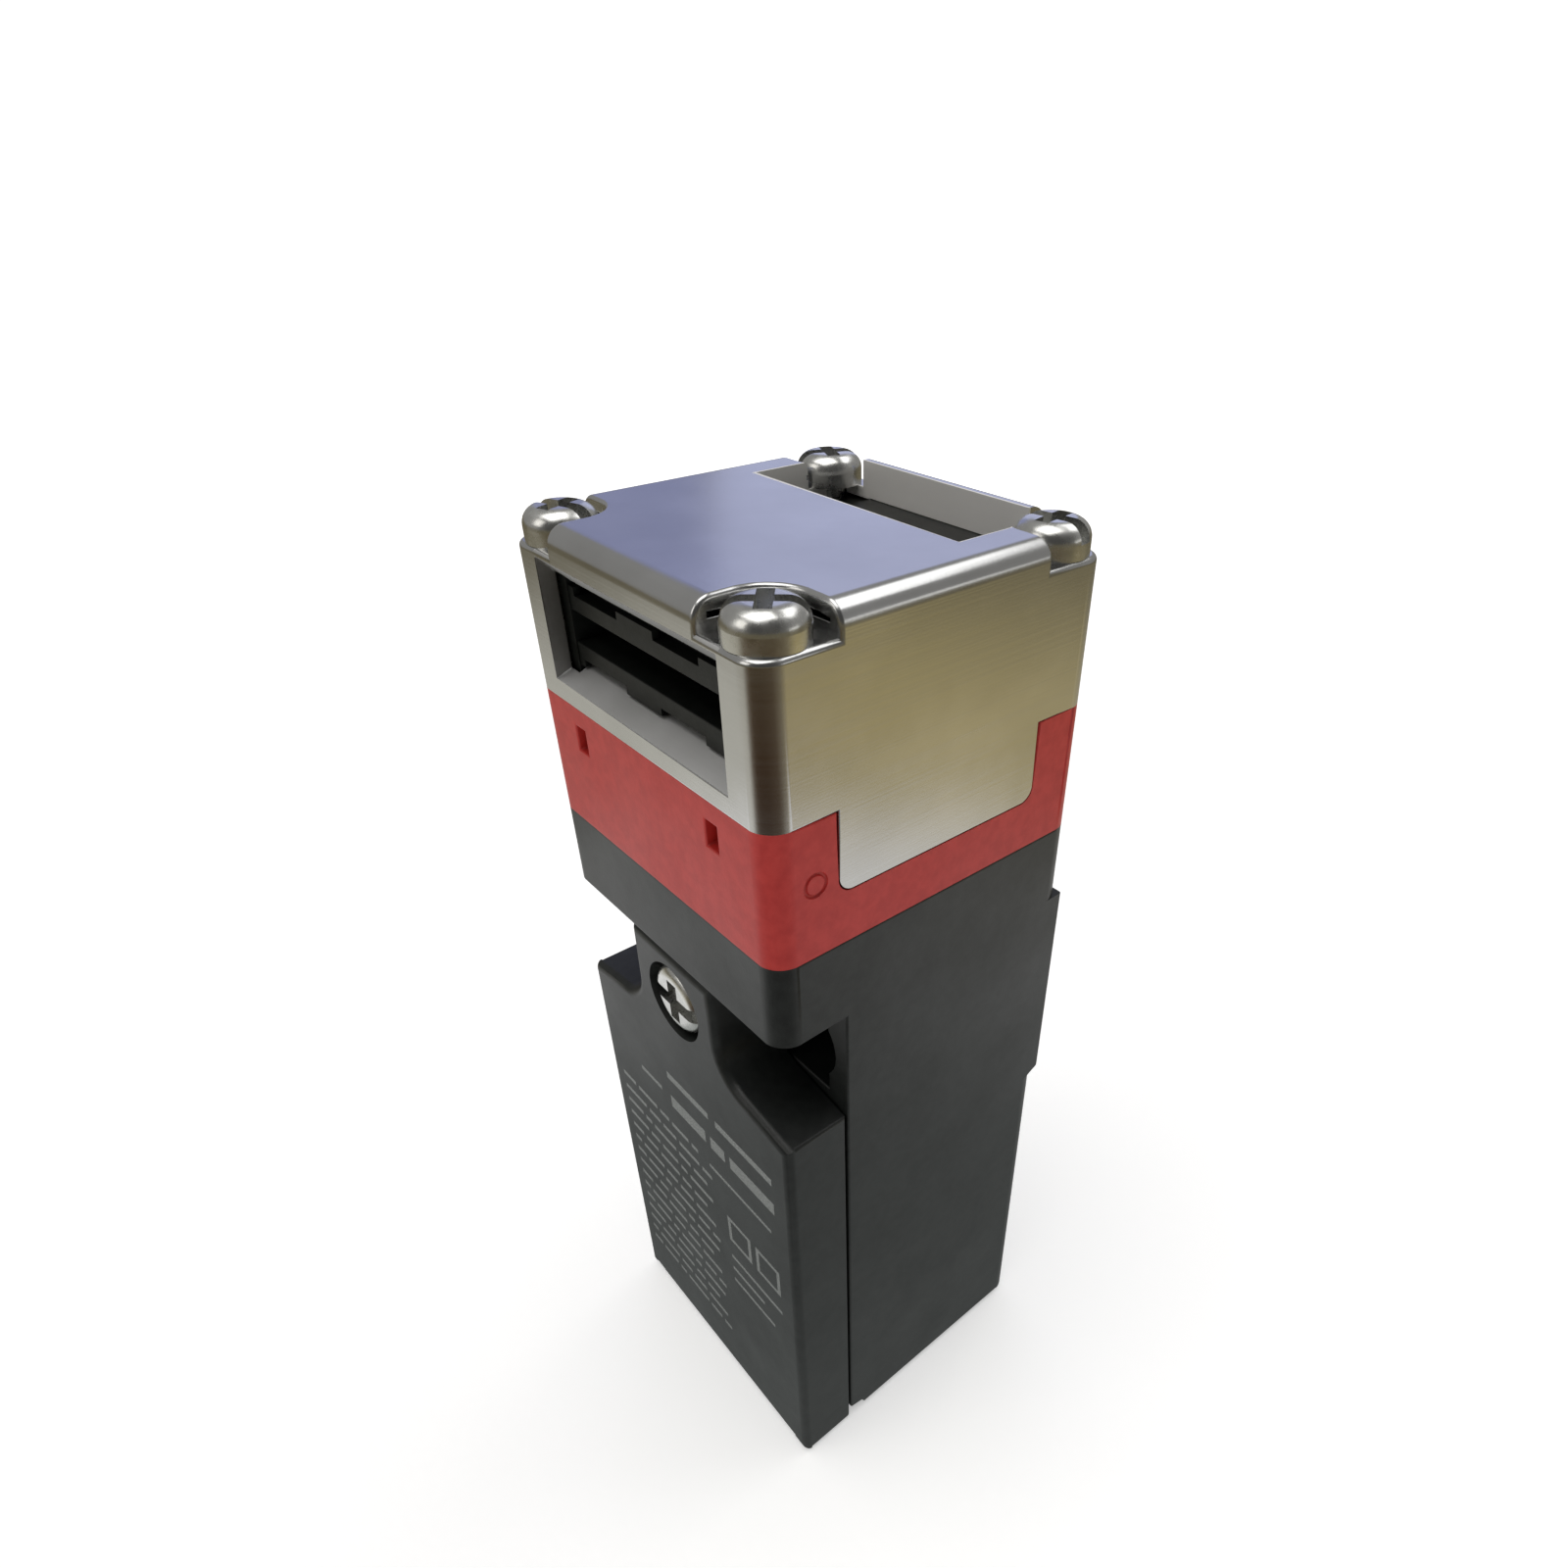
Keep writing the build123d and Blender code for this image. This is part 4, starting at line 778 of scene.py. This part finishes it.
def glowing(name, strength):
    """A white surface that only gives light, with the same strength everywhere."""
    material = bpy.data.materials.new(name)
    material.use_nodes = True
    nodes, links = material.node_tree.nodes, material.node_tree.links
    nodes.remove(nodes["Principled BSDF"])
    glow = nodes.new("ShaderNodeEmission")
    glow.inputs["Color"].default_value = (1.0, 1.0, 1.0, 1.0)
    glow.inputs["Strength"].default_value = strength
    links.new(glow.outputs["Emission"], nodes["Material Output"].inputs["Surface"])
    material.cycles.emission_sampling = "NONE"
    return material, glow


def seen_only_by(stage_object, camera_rays=False, mirrors=False):
    """Hides a stage object from every kind of ray but the ones named."""
    stage_object.visible_camera = camera_rays
    stage_object.visible_glossy = mirrors
    stage_object.visible_diffuse = False
    stage_object.visible_transmission = False
    stage_object.visible_volume_scatter = False
    stage_object.visible_shadow = False


bpy.ops.object.select_all(action="DESELECT")
bpy.ops.mesh.primitive_uv_sphere_add(segments=48, ring_count=24, radius=DOME_RADIUS)
dome = bpy.context.object
dome.name = "white_dome"
dome_finish, _ = glowing("dome_white", DOME_GLOW)
dome.data.materials.append(dome_finish)
seen_only_by(dome, camera_rays=True)
print("dome radius", DOME_RADIUS, "m")

# %% [markdown]
# What metal mirrors from below is laid out on its own card, just under the table, which only
# mirrors see. The middle is painted shade, dim like the shaded table round the object's foot, and
# a white ring like the table lies round it. Beyond about 0.1 m the card turns to the colours of
# the room: dark brown towards the camera, khaki on the right and plain grey elsewhere.

# %% The mirrored surroundings below
SURROUNDINGS = (
    (-180, (0.55, 0.54, 0.48)),
    (-150, (0.64, 0.63, 0.56)),
    (-104, (0.62, 0.60, 0.52)),
    (-90, (0.12, 0.080, 0.050)),
    (-75, (0.048, 0.022, 0.008)),
    (-45, (0.048, 0.023, 0.009)),
    (-15, (0.080, 0.048, 0.026)),
    (12, (0.22, 0.18, 0.11)),
    (36, (0.56, 0.46, 0.21)),
    (90, (0.42, 0.38, 0.27)),
    (180, (0.55, 0.54, 0.48)),
)
RING_SHARE = ((-180, 1.0), (-104, 1.0), (-88, 0.10), (-10, 0.12), (22, 1.0), (180, 1.0))
# The foot colour is painted shade: the dim table round the object's foot, as a mirror would show
# it.
FOOT_PAINTED_SHADE, DUSK_COLOUR = (0.40, 0.42, 0.41), (0.16, 0.14, 0.09)
FOOT_SPAN, ROOM_SPAN, DUSK_SPAN = (0.040, 0.085), (0.105, 0.138), (0.170, 0.320)
CARD_DROP = 0.1 * MM


def colour_ramp(material, turn, stops_by_angle):
    """Colours by the angle in degrees, where the turn runs from 0 at -180 to 1 at 180."""
    ramp = material.node_tree.nodes.new("ShaderNodeValToRGB")
    stops = ramp.color_ramp.elements
    stops.remove(stops[1])
    for number, (degrees, colour) in enumerate(stops_by_angle):
        stop = stops.new((degrees + 180) / 360) if number else stops[0]
        stop.color = (*colour, 1.0)
    material.node_tree.links.new(turn, ramp.inputs["Fac"])
    return ramp.outputs["Color"]


def mirrored_room():
    """Emission by the angle about the object, with painted shade in the middle and a white ring
    near it.
    """
    material, glow = glowing("mirrored_room", 1.0)
    parts = place_parts(material)
    angle = combine(material, "ARCTAN2", parts["Y"], parts["X"])
    turn = map_range(material, angle, (-math.pi, math.pi))
    around = colour_ramp(material, turn, SURROUNDINGS)
    ring_stops = [(degrees, (share, share, share)) for degrees, share in RING_SHARE]
    ring = colour_ramp(material, turn, ring_stops)
    distance = distance_from_middle(material)
    past_foot, past_ring, past_room = (
        map_range(material, distance, span, smooth=True)
        for span in (FOOT_SPAN, ROOM_SPAN, DUSK_SPAN)
    )
    foot_and_ring = mix_colours(material, past_foot, FOOT_PAINTED_SHADE, ring)
    room_and_dusk = mix_colours(material, past_room, around, DUSK_COLOUR)
    colour = mix_colours(material, past_ring, foot_and_ring, room_and_dusk)
    material.node_tree.links.new(colour, glow.inputs["Color"])
    return material


bpy.ops.object.select_all(action="DESELECT")
bpy.ops.mesh.primitive_plane_add(size=TABLE_SIZE, location=(0, 0, cad_low.z - CARD_DROP))
mirror_card = bpy.context.object
mirror_card.name = "mirror_card"
bpy.ops.object.transform_apply(location=True, rotation=False, scale=True)
mirror_card.data.materials.append(mirrored_room())
seen_only_by(mirror_card, mirrors=True)
print("directions on the mirror card:", len(SURROUNDINGS))

# %% [markdown]
# Six soft panels light the object. Each is placed by the direction it shines from: 0 degrees
# is the front, 90 the right. Brightness is given as radiance, what a mirror would show, and
# turned into the power that Blender asks for by the area of the panel.

# %% Soft panels
HEAD_MIDDLE = Vector((0, 0, 0.08))
# Each panel is its name, azimuth, elevation, distance, size, radiance and colour.
PANELS = (
    ("back_panel", 172, 53, 1.0, (0.75, 0.34), 2.0, (1.0, 1.0, 1.0)),
    ("horizon_panel", 124, 4, 1.0, (0.45, 0.12), 1.1, (1.0, 1.0, 0.97)),
    ("sky_panel", 225, 17, 1.0, (0.44, 0.40), 0.62, (0.48, 0.55, 1.0)),
    ("dusk_panel", 247, 17, 1.0, (0.30, 0.44), 0.26, (0.05, 0.16, 1.0)),
    ("top_panel", 350, 80, 1.1, (0.90, 0.90), 2.2, (1.0, 0.99, 0.97)),
    ("front_panel", 345, 30, 1.1, (0.50, 0.60), 1.3, (1.0, 0.97, 0.92)),
)


def soft_panel(name, azimuth, elevation, distance, size, radiance, colour):
    """An area light that looks at the head of the switch from this direction."""
    light = bpy.data.lights.new(name, "AREA")
    light.shape = "RECTANGLE"
    light.size, light.size_y = size
    light.energy = radiance * math.pi * size[0] * size[1]
    light.color = colour
    lamp = bpy.data.objects.new(name, light)
    bpy.context.scene.collection.objects.link(lamp)
    around, up = math.radians(azimuth), math.radians(elevation)
    level = math.cos(up)
    away = Vector((math.sin(around) * level, -math.cos(around) * level, math.sin(up)))
    lamp.location = HEAD_MIDDLE + away * distance
    lamp.rotation_euler = away.to_track_quat("Z", "Y").to_euler()


for panel in PANELS:
    soft_panel(*panel)
print("panels:", [light.name for light in bpy.data.lights])

# %% [markdown]
# The rest of the room is a dim, even world that gets darker towards the camera, because metal
# mirrors the dark side where the photographer stands.

# %% The dim room
DARK_SIDE = Vector((0.72, -0.55, 0.42))
ROOM_COLOUR = (1.0, 0.99, 0.96, 1.0)
DIMMING_SPAN, ROOM_STRENGTH = (0.25, 0.90), (0.29, 0.07)

room = bpy.data.worlds.new("dim_room")
bpy.context.scene.world = room
room.use_nodes = True
nodes, links = room.node_tree.nodes, room.node_tree.links
direction = nodes.new("ShaderNodeTexCoord")
towards_dark = nodes.new("ShaderNodeVectorMath")
towards_dark.operation = "DOT_PRODUCT"
towards_dark.inputs[1].default_value = DARK_SIDE.normalized()
links.new(direction.outputs["Generated"], towards_dark.inputs[0])
dimming = map_range(
    room, towards_dark.outputs["Value"], DIMMING_SPAN, ROOM_STRENGTH, smooth=True
)
nodes["Background"].inputs["Color"].default_value = ROOM_COLOUR
links.new(dimming, nodes["Background"].inputs["Strength"])
room.cycles.sampling_method = "NONE"
bpy.context.scene.view_settings.view_transform = "Standard"
print("room strength:", ROOM_STRENGTH)
